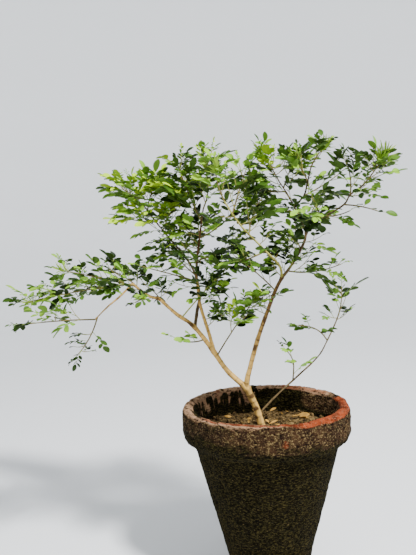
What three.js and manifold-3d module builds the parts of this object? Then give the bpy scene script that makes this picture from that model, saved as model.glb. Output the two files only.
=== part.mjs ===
// A young orange jasmine shrub in a large clay pot.
// Millimetres and degrees, +Z up. The origin is the centre of the pot's flat
// underside, +X is the viewer's right and +Y points away from the viewer.

import * as THREE from 'three';
import { mergeVertices } from 'three/addons/utils/BufferGeometryUtils.js';
import Module from 'manifold-3d';

const wasm = await Module();
wasm.setup();

// Pot and soil
const POT_RIM_RADIUS = 150;
const POT_HEIGHT = 295;
const POT_FOOT_RADIUS = 70;
const POT_FOOT_CHAMFER = 3;
const POT_NECK_RADIUS = 130;
const POT_NECK_HEIGHT = 227;
const NECK_FLARE = 13;
const NECK_FLARE_HEIGHT = 8;
const BAND_BOTTOM = 246;
const BAND_TOP = 286;
const LIP_ROUNDING = 3;
const LIP_CREST_RADIUS = 141;
const LIP_INNER_RADIUS = 130;
const LIP_INNER_ROUNDING = 2;
const LIP_INNER_DROP = 8;
const POT_WALL = 13;
const POT_FLOOR = 16;
const POT_FACETS = 32;
const SOIL_TOP = 250;
const SOIL_EDGE_DROP = 3;
const SOIL_FLAT_RADIUS = 70;

// Fits and clearances
const GAP = 0.3;
const CLEAR = 2 * GAP;
const WELD = 1e-5;
const MERGE = 0.01;
const SLIVER = 0.03;
const LIMB_CLEARANCE = 2.5;
const SPACE_MARGIN = 1.5;

// Leaves: a compound leaf is a stalk with leaflets on alternate sides and one at its end
const LEAF_SPACING = 12;
const LEAF_STEP = 4;
const FIRST_LEAF = 12;
const LAST_LEAF = 6;
const LEAF_OPENING = 54;
const GOLDEN_ANGLE = 137.5;
const LEAF_TAPER = 0.4;
const LEAF_VARIETY = [0.85, 1.15];
const DRAWS = 8;
const FLATTENING = 0.65;
const LIFT = 0.3;
const DROOP = 0.2;
const HANGING = -0.2;
const STALK_RADIUS = [0.85, 0.6];
const LEAFLETS = 4;
const FIRST_LEAFLET = 0.34;
const LAST_LEAFLET = 0.96;
const LEAFLET_LENGTH = 0.5;
const LEAFLET_WIDTH = 0.54;
const LEAFLET_NARROWING = 14;
const LEAFLET_GROWTH = [0.72, 1.06];
const LEAFLET_OPENING = 58;
const LEAFLET_TILT = 45;
const LEAFLET_HALF_THICKNESS = 0.32;
const LARGER_THAN_LIFE = 1.15;
const TIP_LEAFLET = 0.9;
const TIP_OVERLAP = 20;
const TEST_POINTS = [[0.3, 0], [0.6, 0.28], [0.6, -0.28], [1, 0]];
const TRIES = [1, 0.75, 0.55].flatMap((share) => [0, 90, 180, 270].map((further) => [share, further]));

// Limbs. A limb starts on its parent, at a place counted in the parent's legs.
// Each leg is [length, heading, climb]: heading 0 is +X and 90 is +Y.
const TRUNK_PLACE = [-8, -8];
const FOOT_DEPTH = 8;
const FLARE_FALL = 6;
const RINGS_PER_LEG = 2;
const DOME_RINGS = 2;
const DOME_ANGLE = 70;
const LIMBS = {
  trunk: { radius: [6.6, 6.6], sides: 10, flare: 1.6,
    legs: [[35, 172, 76], [26, 174, 67], [18, 172, 65]] },
  left_stem: { on: 'trunk', at: 3, radius: [5.6, 2.4], sides: 7,
    legs: [[48, 175, 44], [39, 162, 55], [56, 168, 53], [41, 170, 37], [40, 169, 41],
      [21, 174, 21], [36, 176, 38]] },
  left_drop: { on: 'left_stem', at: 7, radius: [2, 1.3], sides: 5,
    legs: [[33, -161, -41], [29, -151, -34], [31, -160, -41]] },
  centre_stem: { on: 'left_stem', at: 2, radius: [3.8, 1.5], sides: 5,
    legs: [[35, 117, 61], [45, 135, 68], [31, 122, 72], [46, 99, 77], [37, 67, 73],
      [40, 18, 81], [34, -19, 80]] },
  rear_stem: { on: 'left_stem', at: 3, radius: [3.2, 1.4], sides: 5,
    legs: [[40, 79, 44], [32, 77, 45], [44, 107, 57], [43, 132, 51], [45, 143, 43],
      [45, 150, 47], [40, 156, 52]] },
  right_stem: { on: 'trunk', at: 3, radius: [5, 3.2], sides: 7,
    legs: [[18, -57, 78], [39, -32, 73], [45, -33, 71], [45, -28, 68], [41, -22, 67],
      [26, -19, 62]] },
  inner_bough: { on: 'right_stem', at: 6, radius: [2.3, 1.3], sides: 5,
    legs: [[23, -119, 66], [41, -144, 42], [28, -145, 41], [34, -147, 42], [29, -153, 52],
      [26, -163, 58]] },
  right_bough: { on: 'right_stem', at: 6, radius: [2.8, 2.4], sides: 5,
    legs: [[19, 18, 46], [29, 32, 49], [29, 45, 48], [20, 59, 55]] },
  top_bough: { on: 'right_bough', at: 4, radius: [2.1, 1.3], sides: 5,
    legs: [[29, 116, 53], [32, 114, 47], [37, 119, 47], [27, 122, 45]] },
  high_bough: { on: 'top_bough', at: 2, radius: [1.6, 1.3], sides: 5,
    legs: [[28, -41, 40], [29, -76, 50], [32, -79, 51]] },
  far_bough: { on: 'right_bough', at: 4, radius: [2.1, 1.3], sides: 5,
    legs: [[23, -51, 39], [29, -45, 29], [39, -32, 29], [20, -30, 54], [27, -21, 35]] },
  low_shoot: { on: 'trunk', at: 0.75, radius: [2.1, 1.2], sides: 5,
    legs: [[54, 23, 38], [50, 23, 34], [52, 25, 35], [35, 28, 52], [31, 28, 57],
      [18, 28, 62]] },
};

// Masses of foliage. Each one's stem is an arc that leaves its limb at a place
// counted in legs: its length, its first and last heading, its first and last
// climb, and the length of its largest leaves.
const SPRAYS = {
  left_reach_spray: ['left_stem', 7, 201, [167, 177], [-6, -11], 66],
  left_high_spray: ['left_stem', 6.8, 140, [-154, -163], [17, 15], 66],
  elbow_spray: ['left_stem', 6.5, 80, [141, 155], [34, 20], 62],
  knuckle_sprig: ['left_stem', 6, 45, [-120, -117], [-9, -8], 52],
  rear_left_spray: ['left_stem', 5, 70, [100, 118], [10, 14], 58],
  left_low_spray: ['left_drop', 3, 126, [-170, -174], [2, -4], 62],
  left_hanging_spray: ['left_drop', 2.8, 85, [154, 171], [-67, -49], 40],
  midway_spray: ['centre_stem', 3.5, 110, [-151, -164], [19, 17], 58],
  upper_left_tip_spray: ['rear_stem', 7, 60, [175, 192], [44, 39], 66],
  upper_left_low_spray: ['rear_stem', 6.1, 70, [148, 169], [2, 14], 62],
  upper_left_top_spray: ['rear_stem', 6.8, 66, [-70, -30], [62, 50], 66],
  upper_left_bright_spray: ['rear_stem', 5.6, 105, [-47, -33], [55, 50], 68],
  rear_inner_spray: ['rear_stem', 4, 70, [120, 134], [20, 12], 60],
  centre_left_spray: ['centre_stem', 6.3, 112, [141, 149], [60, 70], 62],
  centre_top_spray: ['centre_stem', 7, 84, [-35, -134], [65, 80], 60],
  centre_mid_spray: ['centre_stem', 5.5, 80, [-31, -24], [23, 42], 60],
  centre_side_spray: ['centre_stem', 4.4, 85, [23, 24], [12, 22], 58],
  rear_centre_spray: ['centre_stem', 4.8, 95, [82, 100], [34, 44], 62],
  front_top_spray: ['inner_bough', 6, 58, [-150, -260], [67, 84], 56],
  front_right_spray: ['inner_bough', 5, 80, [54, 43], [61, 62], 60],
  front_mid_spray: ['inner_bough', 3.5, 70, [68, 36], [60, 51], 58],
  front_low_spray: ['inner_bough', 2, 66, [-130, -143], [-15, -8], 56],
  fork_spray: ['right_stem', 5, 92, [170, 176], [46, 38], 58],
  inner_right_spray: ['right_bough', 3.6, 80, [67, 44], [55, 47], 62],
  rear_right_spray: ['right_bough', 2.5, 95, [98, 78], [26, 42], 62],
  right_side_sprig: ['right_bough', 0.8, 105, [25, 12], [-9, 15], 46],
  top_spray: ['top_bough', 4, 65, [150, 168], [61, 55], 56],
  top_left_spray: ['top_bough', 3, 75, [145, 157], [-1, 20], 60],
  rear_top_spray: ['top_bough', 3.3, 80, [70, 52], [36, 50], 60],
  high_spray: ['high_bough', 3, 46, [-27, -2], [64, 42], 54],
  high_left_spray: ['high_bough', 2.1, 56, [114, 138], [50, 56], 56],
  high_right_spray: ['high_bough', 1, 88, [33, 25], [20, 30], 60],
  far_spray: ['far_bough', 5, 55, [-11, -10], [50, 56], 54],
  far_arm_spray: ['far_bough', 3, 74, [-21, -9], [-6, -20], 40],
  far_up_spray: ['far_bough', 4, 64, [67, 139], [71, 76], 58],
  far_under_spray: ['far_bough', 2, 60, [-57, -54], [1, 16], 58],
  front_far_spray: ['far_bough', 1.2, 92, [-88, -104], [14, 22], 62],
  shoot_tip_spray: ['low_shoot', 6, 55, [15, 71], [71, 86], 54],
  shoot_side_sprig: ['low_shoot', 4, 75, [-145, -156], [48, 8], 46],
  shoot_low_sprig: ['low_shoot', 1.7, 70, [-62, -158], [80, 50], 46],
  low_left_sprig: ['left_stem', 2.5, 60, [-148, -155], [-7, 24], 44],
  low_centre_spray: ['left_stem', 1.8, 140, [-36, -28], [54, 51], 62],
  green_shoot_spray: ['left_stem', 3.7, 130, [-32, -30], [45, 43], 58],
  rear_mid_spray: ['rear_stem', 5.1, 62, [-95, -125], [8, -6], 60],
  rear_low_spray: ['rear_stem', 3, 62, [165, 150], [40, 48], 58],
  inner_left_spray: ['top_bough', 1.6, 80, [168, 152], [4, 16], 60],
};
const SPRAY_RADIUS = [1.4, 0.8];
const SPRAY_SIDES = 3;
const ARC_LEGS = 4;

// How far up its stem a mass's first leaf sits, where that is further than on the rest.
const BARE_STEM = {
  left_low_spray: 26, midway_spray: 34, right_side_sprig: 30, far_arm_spray: 20,
  low_left_sprig: 20, low_centre_spray: 56, green_shoot_spray: 50,
};

// Finishes
const FINISHES = {
  clay: { color: '#6d4a36', roughness: 0.92, metalness: 0 },
  soil: { color: '#3d2e22', roughness: 1, metalness: 0 },
  bark: { color: '#b59c74', roughness: 0.85, metalness: 0 },
  leaf: { color: '#4c7a2c', roughness: 0.5, metalness: 0 },
};

const UP = new THREE.Vector3(0, 0, 1);

function radians(degrees) {
  return THREE.MathUtils.degToRad(degrees);
}

// Unit direction of a heading and a climb.
function heading(turn, climb) {
  const [a, b] = [radians(turn), radians(climb)];
  return new THREE.Vector3(Math.cos(b) * Math.cos(a), Math.cos(b) * Math.sin(a), Math.sin(b));
}

// A number from 0 to 1 that is always the same for the same seed and count.
function chance(seed, count) {
  let mix = (Math.imul(seed + 1, 7919) + Math.imul(count + 1, 104729) + 1831565813) | 0;
  mix = Math.imul(mix ^ (mix >>> 15), mix | 1);
  mix ^= mix + Math.imul(mix ^ (mix >>> 7), mix | 61);
  return ((mix ^ (mix >>> 14)) >>> 0) / 4294967296;
}

// Solids: a closed geometry becomes a solid, and a solid becomes a geometry again.
function solid(geometry) {
  const bare = geometry.clone();
  bare.deleteAttribute('normal');
  bare.deleteAttribute('uv');
  const merged = mergeVertices(bare, WELD);
  const mesh = new wasm.Mesh({
    numProp: 3,
    vertProperties: new Float32Array(merged.attributes.position.array),
    triVerts: new Uint32Array(merged.index.array),
  });
  return new wasm.Manifold(mesh).simplify(MERGE);
}

function geometryOf(body) {
  const mesh = body.asOriginal().getMesh();
  const geometry = new THREE.BufferGeometry();
  geometry.setAttribute('position', new THREE.BufferAttribute(mesh.vertProperties, 3));
  geometry.setIndex(new THREE.BufferAttribute(mesh.triVerts, 1));
  geometry.computeVertexNormals();
  return geometry;
}

// The largest body of a solid, without slivers: loose scraps left by a cut are dropped.
function largest(body) {
  const pieces = body.simplify(SLIVER).decompose();
  return pieces.reduce((a, b) => (b.volume() > a.volume() ? b : a));
}

function boxesMeet(first, second, reach) {
  const [a, b] = [first.boundingBox(), second.boundingBox()];
  return [0, 1, 2].every((k) => a.min[k] - reach < b.max[k] && b.min[k] - reach < a.max[k]);
}

// A round bar bent along a curve: a cylinder whose rings ride on the curve's
// frames, with a domed tip where dome is set.
function bar(curve, radiusAt, sides, steps, dome = 0) {
  const geometry = new THREE.CylinderGeometry(1, 1, 1, sides, steps + dome, false, Math.PI / 2);
  const frames = curve.computeFrenetFrames(steps, false);
  const place = geometry.attributes.position;
  for (let i = 0; i < place.count; i += 1) {
    const ring = Math.round((place.getY(i) + 0.5) * (steps + dome));
    const step = Math.min(ring, steps);
    const bulge = radians(DOME_ANGLE * Math.max(ring - steps, 0) / Math.max(dome, 1));
    const radius = radiusAt(step / steps) * Math.cos(bulge);
    const centre = curve.getPointAt(step / steps)
      .addScaledVector(frames.tangents[step], radiusAt(1) * Math.sin(bulge));
    centre.addScaledVector(frames.normals[step], place.getX(i) * radius);
    centre.addScaledVector(frames.binormals[step], -place.getZ(i) * radius);
    place.setXYZ(i, centre.x, centre.y, centre.z);
  }
  return geometry;
}

// Centre lines
function limbCurve(limb, curves) {
  const start = limb.on
    ? curves[limb.on].getPoint(limb.at / LIMBS[limb.on].legs.length)
    : new THREE.Vector3(...TRUNK_PLACE, SOIL_TOP + GAP);
  const points = [start];
  for (const [length, turn, climb] of limb.legs) {
    points.push(points.at(-1).clone().addScaledVector(heading(turn, climb), length));
  }
  return new THREE.CatmullRomCurve3(points, false, 'catmullrom', 0.5);
}

function sprayCurve([on, at, length, turns, climbs], curves) {
  const points = [curves[on].getPoint(at / LIMBS[on].legs.length)];
  for (let i = 0; i < ARC_LEGS; i += 1) {
    const part = i / (ARC_LEGS - 1);
    const turn = THREE.MathUtils.lerp(...turns, part);
    const climb = THREE.MathUtils.lerp(...climbs, part);
    points.push(points.at(-1).clone().addScaledVector(heading(turn, climb), length / ARC_LEGS));
  }
  return new THREE.CatmullRomCurve3(points, false, 'catmullrom', 0.5);
}

// Limbs: tapering, with a root flare on the trunk and a domed knuckle at the tip.
function limbRadius(limb, grown = 0) {
  const flare = limb.flare ?? 0;
  return (t) => THREE.MathUtils.lerp(...limb.radius, t) + flare * Math.exp(-FLARE_FALL * t) + grown;
}

function limbSolid(name, curve, grown = 0) {
  const limb = LIMBS[name];
  const steps = RINGS_PER_LEG * limb.legs.length;
  return solid(bar(curve, limbRadius(limb, grown), limb.sides, steps, DOME_RINGS));
}

const curves = {};
for (const [name, limb] of Object.entries(LIMBS)) {
  curves[name] = limbCurve(limb, curves);
}

// What lies under the trunk's flat cut at the soil.
function belowGround() {
  const depth = 60;
  const block = new THREE.BoxGeometry(depth, depth, depth);
  block.translate(...TRUNK_PLACE, SOIL_TOP + GAP - depth / 2);
  return solid(block);
}

// The trunk's foot runs a little way under the soil before it is cut flat.
function footed(curve) {
  const points = curve.points.map((point) => point.clone());
  points[0].addScaledVector(curve.getTangent(0), -FOOT_DEPTH);
  return new THREE.CatmullRomCurve3(points, false, 'catmullrom', 0.5);
}

const limbSolids = {};
const limbSleeves = {};
for (const name of Object.keys(LIMBS)) {
  const curve = name === 'trunk' ? footed(curves.trunk) : curves[name];
  let body = limbSolid(name, curve);
  if (name === 'trunk') body = body.subtract(belowGround());
  for (const sleeve of Object.values(limbSleeves)) {
    if (boxesMeet(body, sleeve, 0)) body = body.subtract(sleeve);
  }
  limbSolids[name] = largest(body);
  limbSleeves[name] = limbSolid(name, curve, GAP);
}

// Spaces: a point belongs to the spray whose stem is nearest to it.
const STEM_SEGMENTS = 6;
const LIMB_SEGMENTS = 16;
const sprayCurves = {};
for (const [name, row] of Object.entries(SPRAYS)) {
  sprayCurves[name] = sprayCurve(row, curves);
}

function segments(curve, count) {
  const points = curve.getSpacedPoints(count);
  return points.slice(1).map((point, i) => new THREE.Line3(points[i], point));
}

const stemSegments = Object.fromEntries(
  Object.entries(sprayCurves).map(([name, curve]) => [name, segments(curve, STEM_SEGMENTS)]),
);
const limbSegments = Object.fromEntries(
  Object.entries(curves).map(([name, curve]) => [name, segments(curve, LIMB_SEGMENTS)]),
);

function distance(lines, point) {
  const nearest = new THREE.Vector3();
  let best = Infinity;
  for (const line of lines) {
    line.closestPointToPoint(point, true, nearest);
    best = Math.min(best, nearest.distanceTo(point));
  }
  return best;
}

function inOwnSpace(name, point) {
  const own = distance(stemSegments[name], point) + SPACE_MARGIN;
  for (const [other, lines] of Object.entries(stemSegments)) {
    if (other !== name && distance(lines, point) < own) return false;
  }
  for (const [limb, lines] of Object.entries(limbSegments)) {
    if (distance(lines, point) < LIMBS[limb].radius[0] + LIMB_CLEARANCE) return false;
  }
  return true;
}

// A leaf's plan, where its stalk runs: it opens from the stem, lifted, and its tip droops.
// There is none where it would hang further than its stem does.
function leafPlan(curve, along, turn, length) {
  const at = along / curve.getLength();
  const base = curve.getPointAt(at);
  const forward = curve.getTangentAt(at);
  const across = new THREE.Vector3().crossVectors(forward, UP).normalize();
  const rise = new THREE.Vector3().crossVectors(across, forward);
  const way = forward.clone().multiplyScalar(Math.cos(radians(LEAF_OPENING)))
    .addScaledVector(across, Math.sin(radians(LEAF_OPENING)) * Math.cos(radians(turn)))
    .addScaledVector(rise, FLATTENING * Math.sin(radians(LEAF_OPENING)) * Math.sin(radians(turn)))
    .addScaledVector(UP, LIFT)
    .normalize();
  if (way.z < Math.min(forward.z, 0) + HANGING) return null;
  const stalk = (v) => base.clone().addScaledVector(way, length * v)
    .addScaledVector(UP, -DROOP * length * v);
  return { stalk, length };
}

// A leaflet's frame: x along the blade, z out of its upper face.
function leafletFrame(plan, index, count, tilt) {
  const last = index === count - 1;
  const v = THREE.MathUtils.lerp(FIRST_LEAFLET, LAST_LEAFLET, index / (count - 1));
  const ahead = plan.stalk(v).sub(plan.stalk(v - 0.05)).normalize();
  const side = new THREE.Vector3().crossVectors(ahead, UP).normalize();
  const opened = radians(LEAFLET_OPENING - LEAFLET_NARROWING * v) * (index % 2 ? -1 : 1);
  const opening = last ? 0 : opened;
  const x = ahead.clone().multiplyScalar(Math.cos(opening)).addScaledVector(side, Math.sin(opening));
  const y = new THREE.Vector3().crossVectors(UP, x).normalize();
  const z = new THREE.Vector3().crossVectors(x, y);
  y.multiplyScalar(Math.cos(tilt)).addScaledVector(z, Math.sin(tilt));
  z.crossVectors(x, y);
  const growth = THREE.MathUtils.lerp(...LEAFLET_GROWTH, v);
  const size = plan.length * LEAFLET_LENGTH * growth * LARGER_THAN_LIFE;
  return { frame: new THREE.Matrix4().makeBasis(x, y, z).setPosition(plan.stalk(v)), size };
}

// A leaflet: an octahedron drawn out to a blade, thickest along its rib, with
// an upright edge at its root that is sunk to the middle of the stalk.
function leafletSolid({ frame, size }) {
  const blade = new THREE.OctahedronGeometry(1);
  const place = blade.attributes.position;
  for (let i = 0; i < place.count; i += 1) {
    const [x, y, z] = [place.getX(i), place.getY(i), place.getZ(i)];
    const out = size * (0.5 + 0.5 * x + 0.5 * Math.min(z, 0));
    const rib = LEAFLET_HALF_THICKNESS * (z - Math.min(x, 0));
    place.setXYZ(i, out, y * size * LEAFLET_WIDTH / 2, rib);
  }
  return solid(blade.applyMatrix4(frame));
}

function leafFits(name, frames) {
  return frames.every(({ frame, size }) => TEST_POINTS.every(
    ([out, aside]) => inOwnSpace(
      name,
      new THREE.Vector3(size * out, size * aside, 0).applyMatrix4(frame),
    ),
  ));
}

function leafSolid(plan, frames) {
  const thin = (t) => THREE.MathUtils.lerp(...STALK_RADIUS, t);
  const stalk = solid(bar(new THREE.LineCurve3(plan.stalk(0), plan.stalk(1)), thin, 3, 1));
  return wasm.Manifold.union([stalk, ...frames.map(leafletSolid)]);
}

// The leaves of a spray, by its seed: each is turned by the golden angle from
// the last, and turned further or made shorter until it keeps to its space.
function plannedLeaves(name, seed) {
  const curve = sprayCurves[name];
  const length = curve.getLength();
  const largestLeaf = SPRAYS[name][5];
  const first = BARE_STEM[name] ?? FIRST_LEAF;
  const leaves = [];
  for (let k = 0; first + k * LEAF_SPACING < length - LAST_LEAF; k += LEAF_STEP) {
    const along = first + k * LEAF_SPACING;
    const variety = THREE.MathUtils.lerp(...LEAF_VARIETY, chance(seed, DRAWS * k));
    const size = largestLeaf * (1 - LEAF_TAPER * along / length) * variety;
    const turn = GOLDEN_ANGLE * k + 360 * chance(seed, 0);
    for (const [share, further] of TRIES) {
      const plan = leafPlan(curve, along, turn + further, size * share);
      if (!plan) continue;
      const frames = Array.from({ length: LEAFLETS }, (_, i) => leafletFrame(
        plan, i, LEAFLETS, radians(LEAFLET_TILT * (2 * chance(seed, DRAWS * k + 1 + i) - 1)),
      ));
      if (leafFits(name, frames)) {
        leaves.push(leafSolid(plan, frames));
        break;
      }
    }
  }
  return leaves;
}

// The leaflet at a stem's very tip, along the stem.
function tipLeaflet(name) {
  const curve = sprayCurves[name];
  const end = curve.getPoint(1);
  const stalk = (v) => end.clone().addScaledVector(curve.getTangent(1), TIP_OVERLAP * (v - 1));
  const plan = { stalk, length: SPRAYS[name][5] * TIP_LEAFLET };
  return leafletSolid(leafletFrame(plan, LEAFLETS - 1, LEAFLETS, 0));
}

function stemSolid(name) {
  const thin = (t) => THREE.MathUtils.lerp(...SPRAY_RADIUS, t);
  return solid(bar(sprayCurves[name], thin, SPRAY_SIDES, ARC_LEGS));
}

// Stems first, each cut clear of the limbs and of the stems before it.
const sprayBodies = {};
for (const name of Object.keys(SPRAYS)) {
  let body = stemSolid(name);
  for (const sleeve of Object.values(limbSleeves)) {
    if (boxesMeet(body, sleeve, 0)) body = body.subtract(sleeve);
  }
  sprayBodies[name] = largest(body);
}

function isClear(name, leaf) {
  const others = Object.entries(sprayBodies).filter(([other]) => other !== name);
  return [...Object.entries(limbSolids), ...others].every(
    ([, body]) => !boxesMeet(leaf, body, CLEAR) || leaf.minGap(body, CLEAR + GAP) > CLEAR,
  );
}

Object.keys(SPRAYS).forEach((name, seed) => {
  const leaves = [...plannedLeaves(name, seed), tipLeaflet(name)];
  const clear = leaves.filter((leaf) => isClear(name, leaf));
  sprayBodies[name] = largest(wasm.Manifold.union([sprayBodies[name], ...clear]));
});

// Pot and soil
function lathe(points) {
  const profile = points.map(([radius, height]) => new THREE.Vector2(radius, height));
  return new THREE.LatheGeometry(profile, POT_FACETS).rotateX(Math.PI / 2);
}

// Inner radius of the pot at a height: the taper, one wall thickness in.
function innerRadius(height) {
  const taper = (POT_NECK_RADIUS - POT_FOOT_RADIUS) / POT_NECK_HEIGHT;
  return POT_FOOT_RADIUS - POT_WALL + taper * height;
}

function potGeometry() {
  const lipInner = POT_HEIGHT - LIP_INNER_DROP;
  return lathe([
    [0, 0],
    [POT_FOOT_RADIUS - POT_FOOT_CHAMFER, 0],
    [POT_FOOT_RADIUS, POT_FOOT_CHAMFER],
    [POT_NECK_RADIUS, POT_NECK_HEIGHT],
    [POT_NECK_RADIUS + NECK_FLARE, POT_NECK_HEIGHT + NECK_FLARE_HEIGHT],
    [POT_RIM_RADIUS, BAND_BOTTOM],
    [POT_RIM_RADIUS, BAND_TOP],
    [POT_RIM_RADIUS - LIP_ROUNDING, POT_HEIGHT - LIP_ROUNDING],
    [LIP_CREST_RADIUS, POT_HEIGHT],
    [LIP_INNER_RADIUS + LIP_INNER_ROUNDING, POT_HEIGHT - LIP_INNER_ROUNDING],
    [LIP_INNER_RADIUS, lipInner],
    [innerRadius(SOIL_TOP), SOIL_TOP],
    [innerRadius(POT_FLOOR), POT_FLOOR],
    [0, POT_FLOOR],
  ]);
}

function soilGeometry() {
  const edge = SOIL_TOP - SOIL_EDGE_DROP;
  return lathe([
    [0, POT_FLOOR + GAP],
    [innerRadius(POT_FLOOR) - GAP, POT_FLOOR + GAP],
    [innerRadius(edge) - GAP, edge],
    [SOIL_FLAT_RADIUS, SOIL_TOP],
    [0, SOIL_TOP],
  ]);
}

// The model
const model = new THREE.Group();

function addPart(name, geometry, finish) {
  const mesh = new THREE.Mesh(geometry, new THREE.MeshStandardMaterial(FINISHES[finish]));
  mesh.name = name;
  model.add(mesh);
}

addPart('pot', potGeometry(), 'clay');
addPart('soil', soilGeometry(), 'soil');
for (const [name, body] of Object.entries(limbSolids)) {
  addPart(name, geometryOf(body), 'bark');
}
for (const [name, body] of Object.entries(sprayBodies)) {
  addPart(name, geometryOf(body), 'leaf');
}

export default model;
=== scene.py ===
"""A young orange jasmine shrub in a weathered clay pot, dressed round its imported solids.

Growth and shapes are worked out in millimetres and degrees, +Z up, with the tables and the
rule of the part's source written again here. A mesh is turned to metres when it is made.
"""

import functools
import math

import bpy
import numpy as np
from bpy.props import FloatProperty, FloatVectorProperty, IntProperty, PointerProperty
from mathutils import Matrix, Vector


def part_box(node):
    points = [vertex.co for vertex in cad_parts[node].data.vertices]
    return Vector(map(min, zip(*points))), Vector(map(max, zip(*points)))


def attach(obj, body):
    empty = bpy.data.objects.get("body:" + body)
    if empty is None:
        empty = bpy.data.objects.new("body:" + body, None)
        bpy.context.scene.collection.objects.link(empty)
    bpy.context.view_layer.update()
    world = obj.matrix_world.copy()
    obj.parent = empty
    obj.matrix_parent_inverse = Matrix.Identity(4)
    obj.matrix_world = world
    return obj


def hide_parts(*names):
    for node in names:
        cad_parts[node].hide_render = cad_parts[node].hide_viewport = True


bl_info = {
    "name": "Potted shrub",
    "version": (1, 0, 0),
    "blender": (4, 5, 0),
    "location": "3D View > Sidebar > Shrub",
    "description": "Dresses a packed shrub in a clay pot with wood, leaves, soil and clay",
    "category": "Add Mesh",
}

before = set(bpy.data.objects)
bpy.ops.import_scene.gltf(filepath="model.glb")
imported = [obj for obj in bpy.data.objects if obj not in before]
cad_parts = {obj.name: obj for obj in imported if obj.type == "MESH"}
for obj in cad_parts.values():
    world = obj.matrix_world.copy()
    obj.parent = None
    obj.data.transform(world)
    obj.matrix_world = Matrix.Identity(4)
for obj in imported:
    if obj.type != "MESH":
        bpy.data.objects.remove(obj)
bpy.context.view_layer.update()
POT_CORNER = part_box("pot")[1]
SOIL_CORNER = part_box("soil")[1]

MM = 0.001
UP = np.array([0.0, 0.0, 1.0])

# Limbs. A limb starts on its parent, at a place counted in the parent's legs.
# Each leg is length, heading, climb: heading 0 is +X and 90 is +Y. A limb that is painted darker
# towards its tip, as painted shade under the crown, has a value for how much darker.
LIMBS = {
    "trunk": dict(on=None, at=0, radius=(6.6, 6.6), wood="old", crown_shade=0.16, legs=[
        (35, 172, 76), (26, 174, 67), (18, 172, 65)]),
    "left_stem": dict(on="trunk", at=3, radius=(5.6, 2.4), wood="old", legs=[
        (48, 175, 44), (39, 162, 55), (56, 168, 53), (41, 170, 37), (40, 169, 41),
        (21, 174, 21), (36, 176, 38)]),
    "left_drop": dict(on="left_stem", at=7, radius=(2, 1.3), wood="old", crown_shade=0.15, legs=[
        (33, -161, -41), (29, -151, -34), (31, -160, -41)]),
    "centre_stem": dict(on="left_stem", at=2, radius=(3.8, 1.5), wood="old", crown_shade=0.6, legs=[
        (35, 117, 61), (45, 135, 68), (31, 122, 72), (46, 99, 77), (37, 67, 73),
        (40, 18, 81), (34, -19, 80)]),
    "rear_stem": dict(on="left_stem", at=3, radius=(3.2, 1.4), wood="dark", legs=[
        (40, 79, 44), (32, 77, 45), (44, 107, 57), (43, 132, 51), (45, 143, 43),
        (45, 150, 47), (40, 156, 52)]),
    "right_stem": dict(on="trunk", at=3, radius=(5, 3.2), wood="old", crown_shade=0.36, legs=[
        (18, -57, 78), (39, -32, 73), (45, -33, 71), (45, -28, 68), (41, -22, 67),
        (26, -19, 62)]),
    "inner_bough": dict(on="right_stem", at=6, radius=(2.3, 1.3), wood="green", legs=[
        (23, -119, 66), (41, -144, 42), (28, -145, 41), (34, -147, 42), (29, -153, 52),
        (26, -163, 58)]),
    "right_bough": dict(on="right_stem", at=6, radius=(2.8, 2.4), wood="dark", legs=[
        (19, 18, 46), (29, 32, 49), (29, 45, 48), (20, 59, 55)]),
    "top_bough": dict(on="right_bough", at=4, radius=(2.1, 1.3), wood="dark", legs=[
        (29, 116, 53), (32, 114, 47), (37, 119, 47), (27, 122, 45)]),
    "high_bough": dict(on="top_bough", at=2, radius=(1.6, 1.3), wood="dark", legs=[
        (28, -41, 40), (29, -76, 50), (32, -79, 51)]),
    "far_bough": dict(on="right_bough", at=4, radius=(2.1, 1.3), wood="dark", legs=[
        (23, -51, 39), (29, -45, 29), (39, -32, 29), (20, -30, 54), (27, -21, 35)]),
    "low_shoot": dict(on="trunk", at=0.75, radius=(2.1, 1.2), wood="dark", legs=[
        (54, 23, 38), (50, 23, 34), (52, 25, 35), (35, 28, 52), (31, 28, 57),
        (18, 28, 62)]),
}
TRUNK_PLACE = (-8, -8)
TRUNK_FLARE = 1.6

# Knots and scars of the wood: limb, way along it, heading that it faces, and half its length.
KNOTS = [
    ("trunk", 40, -100, 3), ("trunk", 62, -60, 2.6), ("trunk", 24, -150, 3.5),
    ("right_stem", 78, -120, 6), ("right_stem", 132, -70, 3), ("left_stem", 152, -100, 9),
    ("left_stem", 228, -80, 4),
]
KNOT_HEIGHT = 0.9

# The bark's radius over its limb's, and how fast the trunk's flare falls off. A collar stands
# at a limb's start and a knuckle where another leaves it: each one's height and reach, over
# the radius of the limb that leaves.
BARK_SHARE = 0.9
FLARE_FALL = 6
COLLAR = (0.35, 1.6)
KNUCKLE = (0.22, 1.3)

# Old leaf scars: their spacing, the first one's place, how far they stray and half their width
SCAR_SPACING = 14
FIRST_SCAR = 9
SCAR_STRAY = 5
SCAR_HALF = 1.1

# The step between a limb's rings, the points of a ring on thick and thin limbs, from what
# radius a limb is thick, and how deep the trunk goes into the soil
RING_STEP = 1.3
LIMB_SIDES = (28, 18)
THICK_LIMB = 4
TRUNK_SUNK = 6

# The bark's ridges and lumps: feature size, octaves and first seed, how high they stand,
# and the radius from which ridges have their full height. The grain is stretched along.
RIDGES = (2.2, 3, 70)
RIDGE_HEIGHT = 1.1
SCAR_HEIGHT = 0.5
LUMPS = (9, 2, 90)
LUMP_HEIGHT = 0.07
LUMP_SQUASH = 3
FULL_RELIEF_RADIUS = 3
GRAIN_STRETCH = 6

# How much darker the bark is below, as painted shade, at leaf scars and at knots, and where the
# painted shade towards a limb's tip begins and is full, in shares of the limb's length
UNDERSIDE_PAINTED_SHADE = 0.45
SCAR_DARK = 0.22
KNOT_DARK = 0.6
CROWN_SHADE_SPAN = (0.25, 0.8)
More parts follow.
